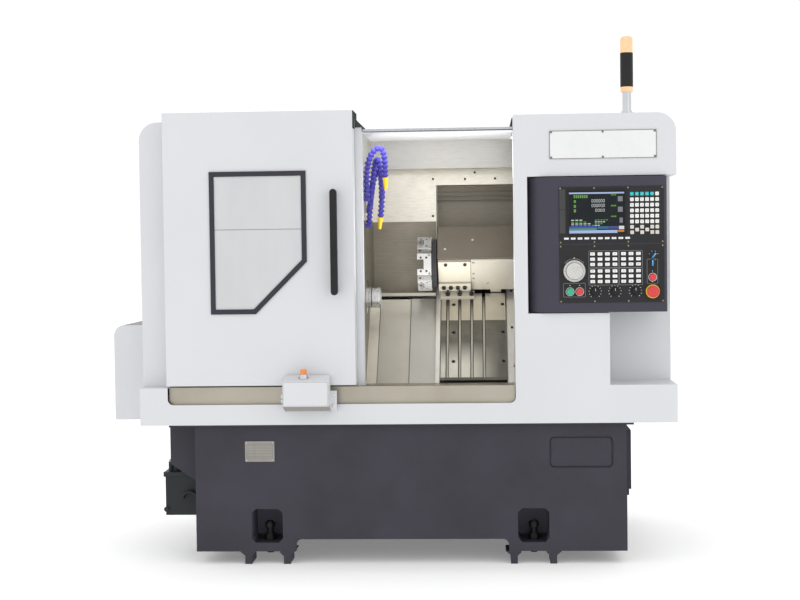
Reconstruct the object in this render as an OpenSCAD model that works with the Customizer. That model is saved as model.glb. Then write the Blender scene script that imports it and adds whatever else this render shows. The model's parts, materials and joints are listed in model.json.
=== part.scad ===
// Slant-bed turning lathe with a sliding door, an operator console and a tool turret.
// Millimetres, X to the right, Y to the back, Z up, floor at Z = 0.

/* [Casing] */
// Width of the skirt
case_w = 1880; // [1860:10:1920]
// Depth from the front skin to the rear of the casing
case_d = 1000; // [980:10:1060]
// Height of the casing top
case_top = 1570; // [1560:5:1600]
// Underside of the skirt and top of the base
skirt_z = 500; // [500:1:504]
// Top of the skirt and of the door sill
sill_z = 632; // [630:1:635]
// Radius of the upper casing corners
corner_r = 65; // [45:5:80]
// Sheet thickness
sheet = 3; // [2:0.5:3]
// Set-back of the left casing behind the front skin
setback = 60; // [58:1:64]
// Left edge of the work opening
open_l = -148; // [-150:1:-146]
// Right edge of the work opening
open_r = 382; // [380:1:386]
// Underside of the roof over the work chamber
roof_z = 1526; // [1520:1:1530]
// Depth of the console recess
recess_d = 190; // [180:5:200]
// Width of the side cover at the left
cover_w = 150; // [130:5:170]

/* [Base] */
// Left end of the base
base_l = 755; // [740:5:780]
// Right end of the base
base_r = 768; // [750:5:790]
// Front face of the base
base_y = 40; // [30:5:50]
// Depth of the base
base_d = 940; // [900:10:960]
// Height of the casting's lower edge above the floor
base_z = 45; // [40:1:50]
// Height of the raised lower edge between the feet
arch_z = 88; // [80:1:100]
// Wall of the casting
base_wall = 28; // [22:1:34]
// Width of a foot pocket
pocket_w = 110; // [100:2:116]

/* [Door] */
// Left edge of the open door
door_l = -841; // [-850:1:-835]
// Width of the door
door_w = 667; // [660:1:668]
// Lower edge of the door
door_z = 640; // [638:1:645]
// How far the door stands above the casing top
door_over = 25; // [20:1:30]
// How far the door stands in front of the skin
door_proud = 16; // [12:1:18]
// Depth of the door box
door_depth = 70; // [60:1:70]
// Width of the dark window frame
window_rim = 17; // [12:1:22]

/* [Spindle] */
// Spindle axis behind the front skin
axis_y = 300; // [298:1:302]
// Spindle axis above the floor
axis_z = 933; // [930:1:936]
// Outer radius of the spindle
spindle_r = 60; // [56:1:61]
// Radius of the collet chuck
chuck_r = 37.5; // [35:0.5:40]
// Radius of the bar passage
bore_r = 23; // [20:0.5:26]
// Front face of the collet chuck
chuck_x = -104; // [-110:1:-100]
// Radius of the spindle pulley
spindle_pulley_r = 90; // [85:1:95]
// Radius of the motor pulley
motor_pulley_r = 60; // [55:1:65]

/* [Slides] */
// Height of the spindle axis over the T-slot plate
plate_n = 97; // [95:1:99]
// Thickness of the T-slot plate
plate_t = 34.5; // [33:0.5:35]
// Left edge of the T-slot plate
plate_x = 116; // [114:1:118]
// Width of the T-slot plate
plate_w = 239; // [235:1:242]
// Spacing of the T-slots
slot_pitch = 44.7; // [42:0.1:46]
// Mouth width of a T-slot
slot_w = 12; // [10:1:14]
// Depth of the bed surface under the spindle axis
bed_n = 216; // [216:1:220]
// Left edge of the saddle
saddle_x = 97; // [96:1:98]
// Right edge of the saddle
saddle_x2 = 390; // [388:1:392]

/* [Turret] */
// Distance of the turret axis up the slant from the spindle axis
turret_p = 170; // [168:1:174]
// Radius of the turret disc
disc_r = 93; // [90:1:96]
// Width of a tool block
block_w = 80; // [74:1:82]

/* [Console] */
// Swivel axis of the console
swivel_x = 505; // [503:1:507]
// Right edge of the console
console_r = 906; // [900:1:915]
// Radius of the rounded console end
console_end_r = 75; // [74:0.5:75]
// Lower edge of the console
console_z = 885; // [885:1:890]
// Height of the console
console_h = 468; // [460:1:468]
// How far the console stands in front of the skin
console_proud = 12; // [8:1:14]

/* [Clearances] */
// Gap between a shaft and the bore it turns in
running = 0.05; // [0.02:0.01:0.1]
// Gap between pieces that pass each other
free = 0.5; // [0.4:0.1:1]

/* [Hidden] */
$fn = 48;
eps = 0.01;
seat = 0.002;
slant_angle = 45;
stations = 6;
case_l = -case_w / 2;
case_r = case_w / 2;
pulley_x1 = -690;
pulley_x2 = -640;
motor_end = pulley_x1 - 350;
cover_l = min(case_l - cover_w, motor_end - 50);
lamp_x = case_r - 161;
badge_x = case_r - 436;
box_front = 97;
cabinet_y2 = case_d + 250;
cabinet_back = cabinet_y2 + 22;
hinge_x = -632;
hinge_y = cabinet_y2 + 12;
hinge_z = [720, 1060, 1400];
hinge_h = 40;
hinge_r = 7;
shift_x = -(cover_l + case_r) / 2;
shift_y = -(cabinet_back - box_front) / 2;
door_r = door_l + door_w;
door_top = case_top + door_over;
door_back = door_depth - door_proud;
recess_x = swivel_x - console_end_r - 2;
recess_z1 = console_z - 3;
recess_z2 = console_z + console_h + 3;
column_x = 709;
front_d = 125;
swivel_y = console_end_r - console_proud;
face = -console_proud - 2;
foot_x = [-501, 441];
foot_half = 86;
cover_n = plate_n + 25;
saddle_top = plate_n + plate_t + 6.5;
saddle_bottom = bed_n - 29;
rail_h = 25;
rail_p = [-240, 120];
z_screw_p = -60;
z_screw_n = bed_n - 15;
z_screw_r = 12;
x_screw_x = plate_x + plate_w / 2;
x_screw_n = saddle_top + 27;
x_screw_r = 9;
back_y = 620;
slope_z1 = 1215;
slope_z2 = 1424;
pocket_y = 760;
housing_r = 227;
turret_rest = 15;
notch_w = 24;
notch_z = roof_z + 14;
recess_top = 1356;
wall_l = open_l - 8;
wall_r = 640;
motor_y = 480;
motor_z = 670;
k = sqrt(2);
block_y = block_w / 2 / tan(180 / stations) + 0.8;
controls = [
    [572, 957, 11.5],
    [605, 957, 11.5],
    [855, 1004, 11.5],
    [855, 955, 13],
    [658, 956, 5],
    [726, 956, 5],
    [796, 957, 5],
    [854, 1052.5, 5],
    [587, 1028, 8],
    [859, 1079, 5]
];

// Points of the door window, grown by e
function window_points(e) = [
    [door_l + 163 - e, 891 - e],
    [door_l + 321 + 0.41 * e, 891 - e],
    [door_l + 502 + e, 1072 - 0.41 * e],
    [door_l + 502 + e, 1388 + e],
    [door_l + 163 - e, 1388 + e]
];

// Front of the sloping rear panel of the work chamber at the height z
function slope_y(z) = back_y + 20 * (z - slope_z1) / (slope_z2 - slope_z1);

// Bed line in the cross section at the depth n under the spindle axis
function slant_z(y, n) = y - axis_y + axis_z - n * k;

// Path with its corners cut n times
function smooth(p, n) = n == 0 ? p : smooth(concat(
    [p[0]],
    [for (i = [0 : len(p) - 2], f = [0.25, 0.75]) p[i] * (1 - f) + p[i + 1] * f],
    [p[len(p) - 1]]
), n - 1);

// Length of a path up to each of its points
function lengths(p, i = 0, sum = 0) = i == len(p) - 1 ? [sum]
    : concat([sum], lengths(p, i + 1, sum + norm(p[i + 1] - p[i])));

// Point of a path at a given length
function at_length(p, l, s, i = 0) = i >= len(l) - 2 || l[i + 1] >= s
    ? p[i] + (p[i + 1] - p[i]) * (s - l[i]) / (l[i + 1] - l[i])
    : at_length(p, l, s, i + 1);

// Direction of a path at a given length
function way(p, l, s) = let (d = at_length(p, l, s + 3) - at_length(p, l, s - 3)) d / norm(d);

// Tangent of half the angle between two directions
function half_turn(u, v) = norm(u - v) / norm(u + v);

// Everything is placed so that the middle of the footprint is the origin
module place() {
    translate([shift_x, shift_y, 0]) children();
}

// Strip of the sloping rear panel from x1 to x2, between the depths d1 and d2 behind its front
module slope_strip(x1, x2, d1, d2, z1, z2) {
    side(x1, x2 - x1) polygon([
        [slope_y(z1) + d1, z1],
        [slope_y(z1) + d2, z1],
        [slope_y(z2) + d2, z2],
        [slope_y(z2) + d1, z2]
    ]);
}

// Block between two corners
module block(a, b) {
    translate(a) cube(b - a);
}

// Front view outline drawn in X and Z, thick from y to y + t
module front(y, t) {
    translate([0, y + t, 0]) rotate([90, 0, 0]) linear_extrude(t) children();
}

// Side view outline drawn in Y and Z, thick from x to x + t
module side(x, t) {
    translate([x, 0, 0]) rotate([90, 0, 90]) linear_extrude(t) children();
}

// Frame of the slant bed: X along the spindle, Y up the slant, Z away from the bed
module slant() {
    translate([0, axis_y, axis_z]) rotate([slant_angle, 0, 0]) children();
}

// Round bar along X
module bar_x(x1, x2, r) {
    translate([x1, 0, 0]) rotate([0, 90, 0]) cylinder(r = r, h = x2 - x1);
}

// Round bar along Y that reaches from y1 to y2
module bar_y(y1, y2, r) {
    translate([0, y2, 0]) rotate([90, 0, 0]) cylinder(r = r, h = y2 - y1);
}

// Rectangle with the same rounding on every corner
module round_rect(a, b, r) {
    translate([a[0] + r, a[1]]) square([b[0] - a[0] - 2 * r, b[1] - a[1]]);
    translate([a[0], a[1] + r]) square([b[0] - a[0], b[1] - a[1] - 2 * r]);
    for (x = [a[0] + r, b[0] - r], y = [a[1] + r, b[1] - r]) translate([x, y]) circle(r);
}

// Rectangle with rounded lower corners
module cup(a, b, r) {
    translate([a[0] + r, a[1]]) square([b[0] - a[0] - 2 * r, b[1] - a[1]]);
    translate([a[0], a[1] + r]) square([b[0] - a[0], b[1] - a[1] - r]);
    for (x = [a[0] + r, b[0] - r]) translate([x, a[1] + r]) circle(r);
}

// Rectangle with one rounded upper corner, at the right when s is 1 and at the left when it is -1
module shoulder(a, b, r, s) {
    cx = s > 0 ? b[0] - r : a[0] + r;
    translate([s > 0 ? a[0] : a[0] + r, a[1]]) square([b[0] - a[0] - r, b[1] - a[1]]);
    translate(a) square([b[0] - a[0], b[1] - a[1] - r]);
    translate([cx, b[1] - r]) circle(r);
}

// Rectangle with bevelled corners
module bevelled(a, b, c) {
    polygon([
        [a[0] + c, a[1]],
        [b[0] - c, a[1]],
        [b[0], a[1] + c],
        [b[0], b[1] - c],
        [b[0] - c, b[1]],
        [a[0] + c, b[1]],
        [a[0], b[1] - c],
        [a[0], a[1] + c]
    ]);
}

// Hexagon socket screw head with its axis along Z
module cap_screw(r, h) {
    difference() {
        cylinder(r = r, h = h);
        translate([0, 0, h * 0.4]) cylinder(r = r * 0.58, h = h, $fn = 6);
    }
}

// Profile of the two legs of a foot
module foot_profile(c) {
    polygon([
        [c - 99, base_z + eps],
        [c - 81, base_z - 15],
        [c - 81, 0],
        [c - 57, 0],
        [c - 57, base_z - 17],
        [c - 44, base_z - 5],
        [c - 44, base_z + eps]
    ]);
    polygon([
        [c + 99, base_z + eps],
        [c + 44, base_z + eps],
        [c + 44, base_z - 5],
        [c + 57, base_z - 17],
        [c + 57, 0],
        [c + 81, 0],
        [c + 81, base_z - 15]
    ]);
}

// Cast base with feet, foot pockets and a raised edge between the feet
module base_casting() {
    y2 = base_y + base_d;
    color([0.2, 0.2, 0.24]) place() difference() {
        union() {
            difference() {
                block([-base_l, base_y, base_z], [base_r, y2, skirt_z]);
                block([-base_l + base_wall, base_y + base_wall, base_z - 1],
                    [base_r - base_wall, y2 - base_wall, skirt_z - base_wall]);
                front(base_y - 1, base_d + 2) intersection() {
                    round_rect([-400, base_z - 60], [354, arch_z], 22);
                    translate([-400, base_z - 1]) square([754, 60]);
                }
            }
            for (c = foot_x) {
                block([c - foot_half, base_y, base_z], [c + foot_half, base_y + 170, 240]);
                block([c - foot_half, y2 - 170, base_z], [c + foot_half, y2, 240]);
                front(base_y, 110) foot_profile(c);
                front(y2 - 110, 110) foot_profile(c);
            }
            block([-577, base_y - 1.5, 364], [-470, base_y + 1, 439]);
            for (x = [-570, -477], z = [371, 432]) translate([x, 0, z]) bar_y(base_y - 3, base_y, 3);
        }
        for (c = foot_x) {
            front(base_y - 1, 131) bevelled([c - pocket_w / 2, 76], [c + pocket_w / 2, 196], 15);
            front(y2 - 130, 131) bevelled([c - pocket_w / 2, 76], [c + pocket_w / 2, 196], 15);
            for (y = [base_y + 62, y2 - 62]) translate([c + 2, y, 0]) cylinder(r = 12.5, h = 90);
        }
        front(base_y - 1, 5) round_rect([497, 337], [722, 450], 24);
        block([-600, 200, skirt_z - 60], [600, 560, skirt_z + 1]);
    }
}

// Levelling bolts with their nuts
module levelling_bolts() {
    color([0.12, 0.12, 0.13]) place() for (c = foot_x, y = [base_y + 62, base_y + base_d - 62]) {
        translate([c + 2, y, 0]) {
            translate([0, 0, 31]) cylinder(r = 12, h = 112);
            translate([0, 0, 76]) cylinder(r = 21, h = 20, $fn = 6);
            translate([0, 0, 96]) cylinder(r = 17, h = 4);
            translate([0, 0, 122]) cylinder(r = 18, h = 16, $fn = 6);
        }
    }
}

// Tray around the top of the base, under the casing
module skirt_tray() {
    color([0.85, 0.86, 0.87]) place() {
        difference() {
            block([case_l, sheet, skirt_z], [case_r, case_d, skirt_z + sheet]);
            block([-652, 150, skirt_z - 1], [660, 700, skirt_z + sheet + 1]);
            block([-base_l - 10, motor_y - 110, skirt_z - 1], [-640, motor_y + 110, skirt_z + sheet + 1]);
        }
        difference() {
            block([case_l, setback, skirt_z + sheet], [case_l + sheet, case_d, sill_z]);
            block([case_l - 1, 270, 520], [case_l + sheet + 1, 630, sill_z + 1]);
        }
        block([case_r - sheet, setback, skirt_z + sheet], [case_r, case_d, sill_z]);
        block([case_l + sheet, case_d - sheet, skirt_z + sheet], [case_r - sheet, case_d, sill_z]);
    }
}

// White front skin: skirt, right column, head over the console and console recess
module front_fascia() {
    color([0.88, 0.89, 0.9]) place() difference() {
        union() {
            front(0, sheet) difference() {
                union() {
                    translate([case_l, skirt_z]) square([case_w, sill_z - skirt_z]);
                    translate([open_r, sill_z - 1]) square([recess_x - open_r, recess_z2 - sill_z + 2]);
                    shoulder([open_r, recess_z2], [case_r, case_top], corner_r, 1);
                    translate([open_r, sill_z - 1]) square([column_x - open_r, recess_z1 - sill_z + 1]);
                }
                cup([door_l, 572], [open_r, sill_z + 1], 20);
            }
            front(sheet, recess_d) difference() {
                shoulder([open_r, recess_z2], [case_r, case_top], corner_r, 1);
                translate([0, recess_z2 + sheet]) difference() {
                    shoulder([open_r + sheet, 0], [case_r - sheet, case_top - recess_z2 - 2 * sheet],
                        corner_r - sheet, 1);
                }
            }
            block([open_r, sheet, sill_z - sheet], [open_r + sheet, front_d, recess_z2 + 1]);
            block([recess_x - sheet, sheet, recess_z1 - sheet],
                [recess_x, recess_d + sheet, recess_z2 + 1]);
            block([recess_x - sheet, sheet, recess_z1 - sheet], [column_x, recess_d + sheet, recess_z1]);
            block([column_x - sheet, sheet, sill_z - sheet], [column_x, recess_d + sheet, recess_z1]);
            block([column_x - sheet, sheet, sill_z - sheet], [case_r - sheet, recess_d + sheet, sill_z]);
            block([recess_x - sheet, recess_d, recess_z1 - sheet],
                [case_r, recess_d + sheet, recess_z2 + 1]);
            block([column_x - sheet, recess_d, sill_z], [case_r, recess_d + sheet, recess_z1]);
            block([case_l, sheet, skirt_z + sheet], [case_l + sheet, setback, sill_z]);
            block([case_r - sheet, sheet, skirt_z + sheet], [case_r, setback, sill_z]);
            block([case_l + sheet, sheet, sill_z - sheet], [door_l - 2, setback + sheet, sill_z]);
            block([badge_x, -2, 1413], [badge_x + 371, 1, 1514]);
            for (x = [8, 185, 363], z = [1420, 1507]) translate([badge_x + x, 0, z]) bar_y(-4, 0, 4);
        }
        translate([swivel_x, swivel_y, 0]) cylinder(r = 8 + free, h = case_top - 20);
    }
}

// Left casing over the headstock, with the fixed panel behind the door
module left_casing() {
    color([0.86, 0.87, 0.88]) place() difference() {
        union() {
            front(setback, sheet) shoulder([case_l, sill_z], [open_l, case_top], corner_r, -1);
            front(setback + sheet, case_d - setback - sheet) difference() {
                shoulder([case_l, sill_z], [open_l, case_top], corner_r, -1);
                shoulder([case_l + sheet, sill_z - 10], [open_l + 10, case_top - sheet],
                    corner_r - sheet, -1);
            }
            block([open_l - sheet, setback + sheet, sill_z], [open_l, setback + 40, roof_z]);
            block([case_l + 1, case_d - sheet, sill_z], [-640, case_d, case_top - corner_r]);
        }
        block([case_l - 1, 270, sill_z - 1], [case_l + sheet + 1, 630, 820]);
        block([open_l - notch_w, setback - 1, notch_z], [open_l + 1, case_d + 1, case_top + 1]);
    }
}

// Right casing behind the console
module right_casing() {
    y1 = recess_d + sheet;
    color([0.86, 0.87, 0.88]) place() {
        front(y1, case_d - y1) difference() {
            shoulder([open_r, sill_z], [case_r, case_top], corner_r, 1);
            shoulder([open_r - 10, sill_z - 10], [case_r - sheet, case_top - sheet], corner_r - sheet, 1);
        }
        block([640, case_d - sheet, sill_z], [case_r - 1, case_d, case_top - corner_r]);
    }
}

// Roof sheet over the work chamber
module roof_panel() {
    color([0.9, 0.9, 0.9]) place() {
        block([open_l - notch_w, setback + 23, roof_z], [open_r, case_d, roof_z + sheet]);
        block([open_l - notch_w, case_d - sheet, roof_z + sheet], [open_r, case_d, roof_z + 30]);
    }
}

// Dark plates that close the casings above the chamber roof
module hood_ends() {
    color([0.17, 0.2, 0.2]) place() {
        block([open_l - notch_w, setback + sheet, roof_z + sheet],
            [open_l - notch_w + sheet, case_d - 40, case_top]);
        block([open_r - sheet, setback + 66, roof_z + sheet], [open_r, case_d - 40, case_top]);
    }
}

// Bright guide rail of the door
module top_rail() {
    color([0.75, 0.77, 0.8]) place() {
        block([open_l + sheet, setback + 3, roof_z - 3], [open_r, setback + 23, roof_z + 8]);
    }
}

// Recessed stainless sill under the door
module door_sill() {
    color([0.68, 0.65, 0.6]) place() {
        block([door_l + 1, 20, 572], [open_r - 1, 23, sill_z]);
        block([door_l + 1, 23, sill_z - sheet], [open_r - 1, front_d, sill_z]);
        block([door_l + 1, sheet, 569], [open_r - 1, 23, 572]);
        block([door_l + 30, sheet, 557], [open_r - 30, 6, 569]);
    }
}

// Stainless lining of the work chamber with the pocket for the slide cover
module chamber_liner() {
    pocket_x = 95;
    plate_top = 1396;
    color([0.72, 0.7, 0.65]) place() {
        difference() {
            side(wall_l, sheet) polygon([
                [setback + sheet, sill_z],
                [150, sill_z],
                [150, slant_z(150, cover_n)],
                [480, slant_z(480, cover_n)],
                [back_y + 1, slant_z(480, cover_n)],
                [back_y + 1, slope_z1],
                [slope_y(slope_z2) + 1, slope_z2],
                [slope_y(slope_z2) + 1, roof_z],
                [setback + sheet, roof_z]
            ]);
            translate([0, axis_y, axis_z]) bar_x(wall_l - 1, wall_l + sheet + 1, spindle_r + 5);
        }
        block([wall_l, back_y, 930], [pocket_x, back_y + sheet, slope_z1]);
        difference() {
            union() {
                slope_strip(wall_l, wall_r, 0, sheet, slope_z1, slope_z2);
                slope_strip(pocket_x - 21, wall_r, -sheet, 1, slope_z1, plate_top);
            }
            block([pocket_x, back_y - 10, slope_z1 - 1], [wall_r + 1, pocket_y, recess_top]);
        }
        block([wall_l, 575, slope_z2 - 6], [wall_r, 577, roof_z]);
        block([wall_l, 576, slope_z2 - 6], [wall_r, slope_y(slope_z2), slope_z2 - 4]);
        side(pocket_x - sheet, sheet) polygon([
            [back_y + 1, 1074],
            [pocket_y + 1, 1074],
            [pocket_y + 1, recess_top + 1],
            [slope_y(recess_top) + 1, recess_top + 1],
            [back_y + 1, slope_z1]
        ]);
        block([pocket_x - 1, slope_y(recess_top) + 1, recess_top],
            [wall_r, pocket_y + 1, recess_top + sheet]);
        block([pocket_x - 1, pocket_y, 1190], [wall_r, pocket_y + sheet, recess_top + sheet]);
        for (i = [0 : 2]) {
            z = 1300 + 16 * i;
            block([pocket_x - 1, pocket_y - 30 + 10 * i, z], [wall_r, pocket_y + 1, z + sheet]);
        }
        side(wall_r - 1, sheet) polygon([
            [recess_d + 10, slant_z(recess_d + 10, cover_n)],
            [pocket_y + sheet, slant_z(pocket_y + sheet, cover_n)],
            [pocket_y + sheet, recess_top + sheet],
            [slope_y(slope_z2) + sheet, slope_z2],
            [slope_y(slope_z2) + sheet, roof_z],
            [recess_d + 10, roof_z]
        ]);
    }
}

// Fixed covers of the bed at the left of the saddle, and the shelf above them
module way_covers() {
    color([0.7, 0.69, 0.66]) place() {
        slant() block([wall_l + sheet, -322, -cover_n - 1.5], [wall_l + 43, 100, -cover_n]);
        slant() block([wall_l + 43, -322, -cover_n - 1.5], [saddle_x - 7, 100, -cover_n + 3]);
        block([wall_l + sheet, 455, 932], [94, back_y, 944]);
    }
}

// Slanted cast bed
module slant_bed() {
    color([0.25, 0.26, 0.28]) place() difference() {
        side(-630, 1270) polygon([
            [190, skirt_z],
            [190, slant_z(190, bed_n)],
            [590, slant_z(590, bed_n)],
            [650, slant_z(590, bed_n)],
            [650, skirt_z]
        ]);
        for (x = [-590, -180, 230]) side(x, 380) polygon([
            [270, skirt_z - 1],
            [270, slant_z(270, bed_n + 34)],
            [560, slant_z(560, bed_n + 34)],
            [615, slant_z(560, bed_n + 34)],
            [615, skirt_z - 1]
        ]);
    }
}

// Linear rails of the lengthwise slide
module z_rails() {
    color([0.7, 0.71, 0.72]) place() slant() for (p = rail_p) {
        block([-120, p - 15, -bed_n + seat], [620, p + 15, -bed_n + rail_h]);
    }
}

// Lengthwise ball screw, its bearing block and its motor
module z_drive() {
    color([0.2, 0.2, 0.22]) place() slant() {
        translate([0, z_screw_p, -z_screw_n]) bar_x(-110, 645, z_screw_r);
        block([610, z_screw_p - 50, -bed_n + seat], [640, z_screw_p + 50, -cover_n - 8]);
        block([-125, z_screw_p - 40, -bed_n + seat], [-100, z_screw_p + 40, -cover_n - 60]);
        block([640, z_screw_p - 50, -z_screw_n - 50], [760, z_screw_p + 50, -z_screw_n + 50]);
    }
}

// Headstock casting with the spindle bearings
module headstock() {
    color([0.24, 0.25, 0.27]) place() slant() difference() {
        block([-630, -130, -bed_n + seat], [wall_l - 4, 130, 120]);
        bar_x(-640, 0, spindle_r + running);
        bar_x(-580, wall_l - 60, spindle_r + 12);
    }
}

// Spindle with a bar passage
module spindle_shaft() {
    color([0.7, 0.71, 0.72]) place() translate([0, axis_y, axis_z]) difference() {
        bar_x(-740, chuck_x - 50, spindle_r);
        bar_x(-741, chuck_x - 49, bore_r + 2);
    }
}

// Collet chuck with grooves and a front ring
module collet_chuck() {
    color([0.8, 0.8, 0.8]) place() translate([0, axis_y, axis_z]) difference() {
        union() {
            bar_x(chuck_x - 50, chuck_x - 34, chuck_r);
            bar_x(chuck_x - 34, chuck_x - 31, chuck_r - 3);
            bar_x(chuck_x - 31, chuck_x - 9, chuck_r - 1);
            bar_x(chuck_x - 9, chuck_x - 1.5, chuck_r + 1);
            bar_x(chuck_x - 1.5, chuck_x, chuck_r - 2);
        }
        bar_x(chuck_x - 51, chuck_x + 1, bore_r);
        bar_x(chuck_x - 4, chuck_x + 1, bore_r + 5);
        for (a = [0 : 60 : 300]) rotate([a, 0, 0]) translate([0, chuck_r, 0]) {
            translate([chuck_x - 20, 0, 0]) rotate([90, 0, 0]) cylinder(r = 3.5, h = 16, center = true);
        }
    }
}

// Rear of the spindle: belt pulley and the hydraulic cylinder that draws the collet
module spindle_drive() {
    color([0.3, 0.3, 0.32]) place() translate([0, axis_y, axis_z]) {
        difference() {
            union() {
                bar_x(pulley_x1, pulley_x2, spindle_pulley_r);
                bar_x(pulley_x1 - 4, pulley_x1, spindle_pulley_r + 6);
                bar_x(pulley_x2, pulley_x2 + 4, spindle_pulley_r + 6);
            }
            bar_x(pulley_x1 - 5, pulley_x2 + 5, spindle_r + running);
        }
        difference() {
            union() {
                bar_x(-860, -740, 78);
                bar_x(-905, -860, 46);
            }
            bar_x(-906, -739, bore_r + 2);
        }
    }
}

// Spindle motor on its bracket
module spindle_motor() {
    color([0.2, 0.22, 0.25]) place() difference() {
        union() {
            translate([0, motor_y, motor_z]) block([motor_end + 40, -100, -100], [motor_end + 300, 100, 100]);
            translate([0, motor_y, motor_z]) bar_x(motor_end, motor_end + 40, 85);
            block([motor_end + 288, motor_y - 100, skirt_z], [motor_end + 314, motor_y + 100, motor_z + 100]);
        }
        translate([0, motor_y, motor_z]) bar_x(-790, -700, 19 + running);
        for (i = [0 : 7]) translate([0, motor_y, motor_z]) {
            block([motor_end + 55 + 30 * i, -101, -60], [motor_end + 70 + 30 * i, -94, 60]);
        }
    }
}

// Motor shaft with its pulley
module motor_pulley() {
    color([0.3, 0.3, 0.32]) place() translate([0, motor_y, motor_z]) {
        bar_x(-785, pulley_x2 + 4, 19);
        bar_x(pulley_x1, pulley_x2, motor_pulley_r);
        bar_x(pulley_x1 - 4, pulley_x1, motor_pulley_r + 6);
        bar_x(pulley_x2, pulley_x2 + 4, motor_pulley_r + 6);
    }
}

// Outline of the belt loop, grown by e from the pulleys
module belt_outline(e) {
    d = [axis_y - motor_y, axis_z - motor_z];
    l = norm(d);
    a = atan2(d[1], d[0]);
    b = acos((motor_pulley_r - spindle_pulley_r) / l);
    r1 = motor_pulley_r + e;
    r2 = spindle_pulley_r + e;
    m = [motor_y, motor_z];
    s = [axis_y, axis_z];
    translate(m) circle(r1);
    translate(s) circle(r2);
    polygon([
        m + r1 * [cos(a + b), sin(a + b)],
        m + r1 * [cos(a - b), sin(a - b)],
        s + r2 * [cos(a - b), sin(a - b)],
        s + r2 * [cos(a + b), sin(a + b)]
    ]);
}

// Drive belt
module drive_belt() {
    color([0.08, 0.08, 0.08]) place() side(pulley_x1 + 2, pulley_x2 - pulley_x1 - 4) difference() {
        belt_outline(5);
        belt_outline(free);
    }
}

// White cover over the end of the spindle motor
module side_cover() {
    color([0.88, 0.89, 0.9]) place() {
        front(250, 400) difference() {
            shoulder([cover_l, 494], [case_l, 844], 40, -1);
            shoulder([cover_l + sheet, 494 + sheet], [case_l + 1, 844 - sheet], 40 - sheet, -1);
        }
        for (y = [250, 650 - sheet]) {
            front(y, sheet) shoulder([cover_l, 494], [case_l, 844], 40, -1);
        }
    }
}

// Saddle that runs on the rails and carries the cross slide
module saddle() {
    color([0.6, 0.6, 0.58]) place() slant() difference() {
        union() {
            block([saddle_x, -335, -saddle_bottom], [saddle_x2, 332, -saddle_top]);
            for (p = rail_p, x = [saddle_x + 10, saddle_x2 - 80]) {
                block([x, p - 35, -bed_n + 3], [x + 70, p + 35, -saddle_bottom]);
            }
            for (x = [plate_x + 12, plate_x + plate_w - 62]) {
                block([x, -320, -saddle_top], [x + 50, 320, -saddle_top + 6]);
            }
            block([200, z_screw_p - 28, -bed_n + 3], [270, z_screw_p + 28, -saddle_bottom]);
            block([saddle_x, -335, -cover_n - 8], [saddle_x + 16, 330, -plate_n - 3]);
            block([saddle_x, -335, -saddle_top], [saddle_x + 16, 330, -cover_n - 8]);
            block([saddle_x2 - 31, -335, -saddle_top], [saddle_x2, 330, -plate_n - 12]);
            block([3, -322, -cover_n + 6], [saddle_x, 98, -cover_n + 8]);
            block([wall_l + 8, -318, -cover_n - 6], [saddle_x, 96, -cover_n - 4]);
        }
        for (p = rail_p) {
            block([saddle_x, p - 15 - free, -bed_n], [saddle_x2, p + 15 + free, -bed_n + rail_h + free]);
        }
        translate([0, z_screw_p, -z_screw_n]) bar_x(saddle_x, saddle_x2, z_screw_r + free);
        block([x_screw_x - 15, -336, -saddle_top - 40], [x_screw_x + 15, 333, -saddle_top + 1]);
    }
}

// Cross ball screw with its motor
module x_drive() {
    color([0.2, 0.2, 0.22]) place() slant() translate([x_screw_x, 0, -x_screw_n]) {
        bar_y(-300, 340, x_screw_r);
        block([-13, -330, -13], [13, -300, 20]);
        block([-32, 332, -32], [32, 442, 32]);
    }
}

// Cross slide plate with T-slots
module t_slot_plate() {
    top = -plate_n;
    color([0.66, 0.66, 0.64]) place() slant() difference() {
        union() {
            block([plate_x, -309, top - plate_t], [plate_x + plate_w, 300, top]);
            block([plate_x, -322, top - plate_t], [plate_x + plate_w, -309, top + 5]);
            block([x_screw_x - 13, 0, -x_screw_n - 12], [x_screw_x + 13, 60, top - plate_t]);
        }
        for (i = [0 : 3]) translate([plate_x + 24 + slot_pitch * i, 0, 0]) {
            block([-slot_w / 2, -310, top - 10], [slot_w / 2, 301, top + 6]);
            block([-slot_w / 2 - 5, -309 + eps, top - 19], [slot_w / 2 + 5, 301, top - 9]);
        }
        for (p = [-230, -90, 50], x = [plate_x + 46.5, plate_x + plate_w - 11]) translate([x, p, top]) {
            translate([0, 0, -9]) cylinder(r = 7, h = 20);
        }
        translate([x_screw_x, 0, -x_screw_n]) bar_y(-1, 61, x_screw_r + free);
    }
}

// Turret housing on the cross slide
module turret_housing() {
    color([0.85, 0.82, 0.74]) place() slant() difference() {
        union() {
            block([107, 107, -plate_n], [housing_r, 262, 72]);
            block([107, 95, -plate_n + 27], [housing_r, 107, -32]);
            block([112, 76, -plate_n], [housing_r + 13, 107, -plate_n + 16]);
        }
        translate([0, turret_p, 0]) bar_x(100, 200, 30 + running);
        for (x = [126, 152, 178, 204]) translate([x, 0, -50]) bar_y(94, 97, 8);
        for (p = [130, 180, 230]) translate([0, p, 30]) bar_x(housing_r - 4, housing_r + 1, 7);
    }
}

// Cap screws of the turret housing and the T-bolts that clamp it
module clamp_screws() {
    color([0.1, 0.1, 0.11]) place() slant() {
        for (x = [126, 152, 178, 204]) translate([x, 97, -50]) rotate([90, 0, 0]) cap_screw(7.5, 9);
        for (i = [0 : 2]) translate([plate_x + 24 + slot_pitch * i, 86, -plate_n + 16]) {
            cylinder(r = 9, h = 8, $fn = 6);
            cylinder(r = 5, h = 20);
        }
        for (x = [135, 206]) translate([x, 107, 60]) rotate([90, 0, 0]) cap_screw(6, 5);
    }
}

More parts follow.
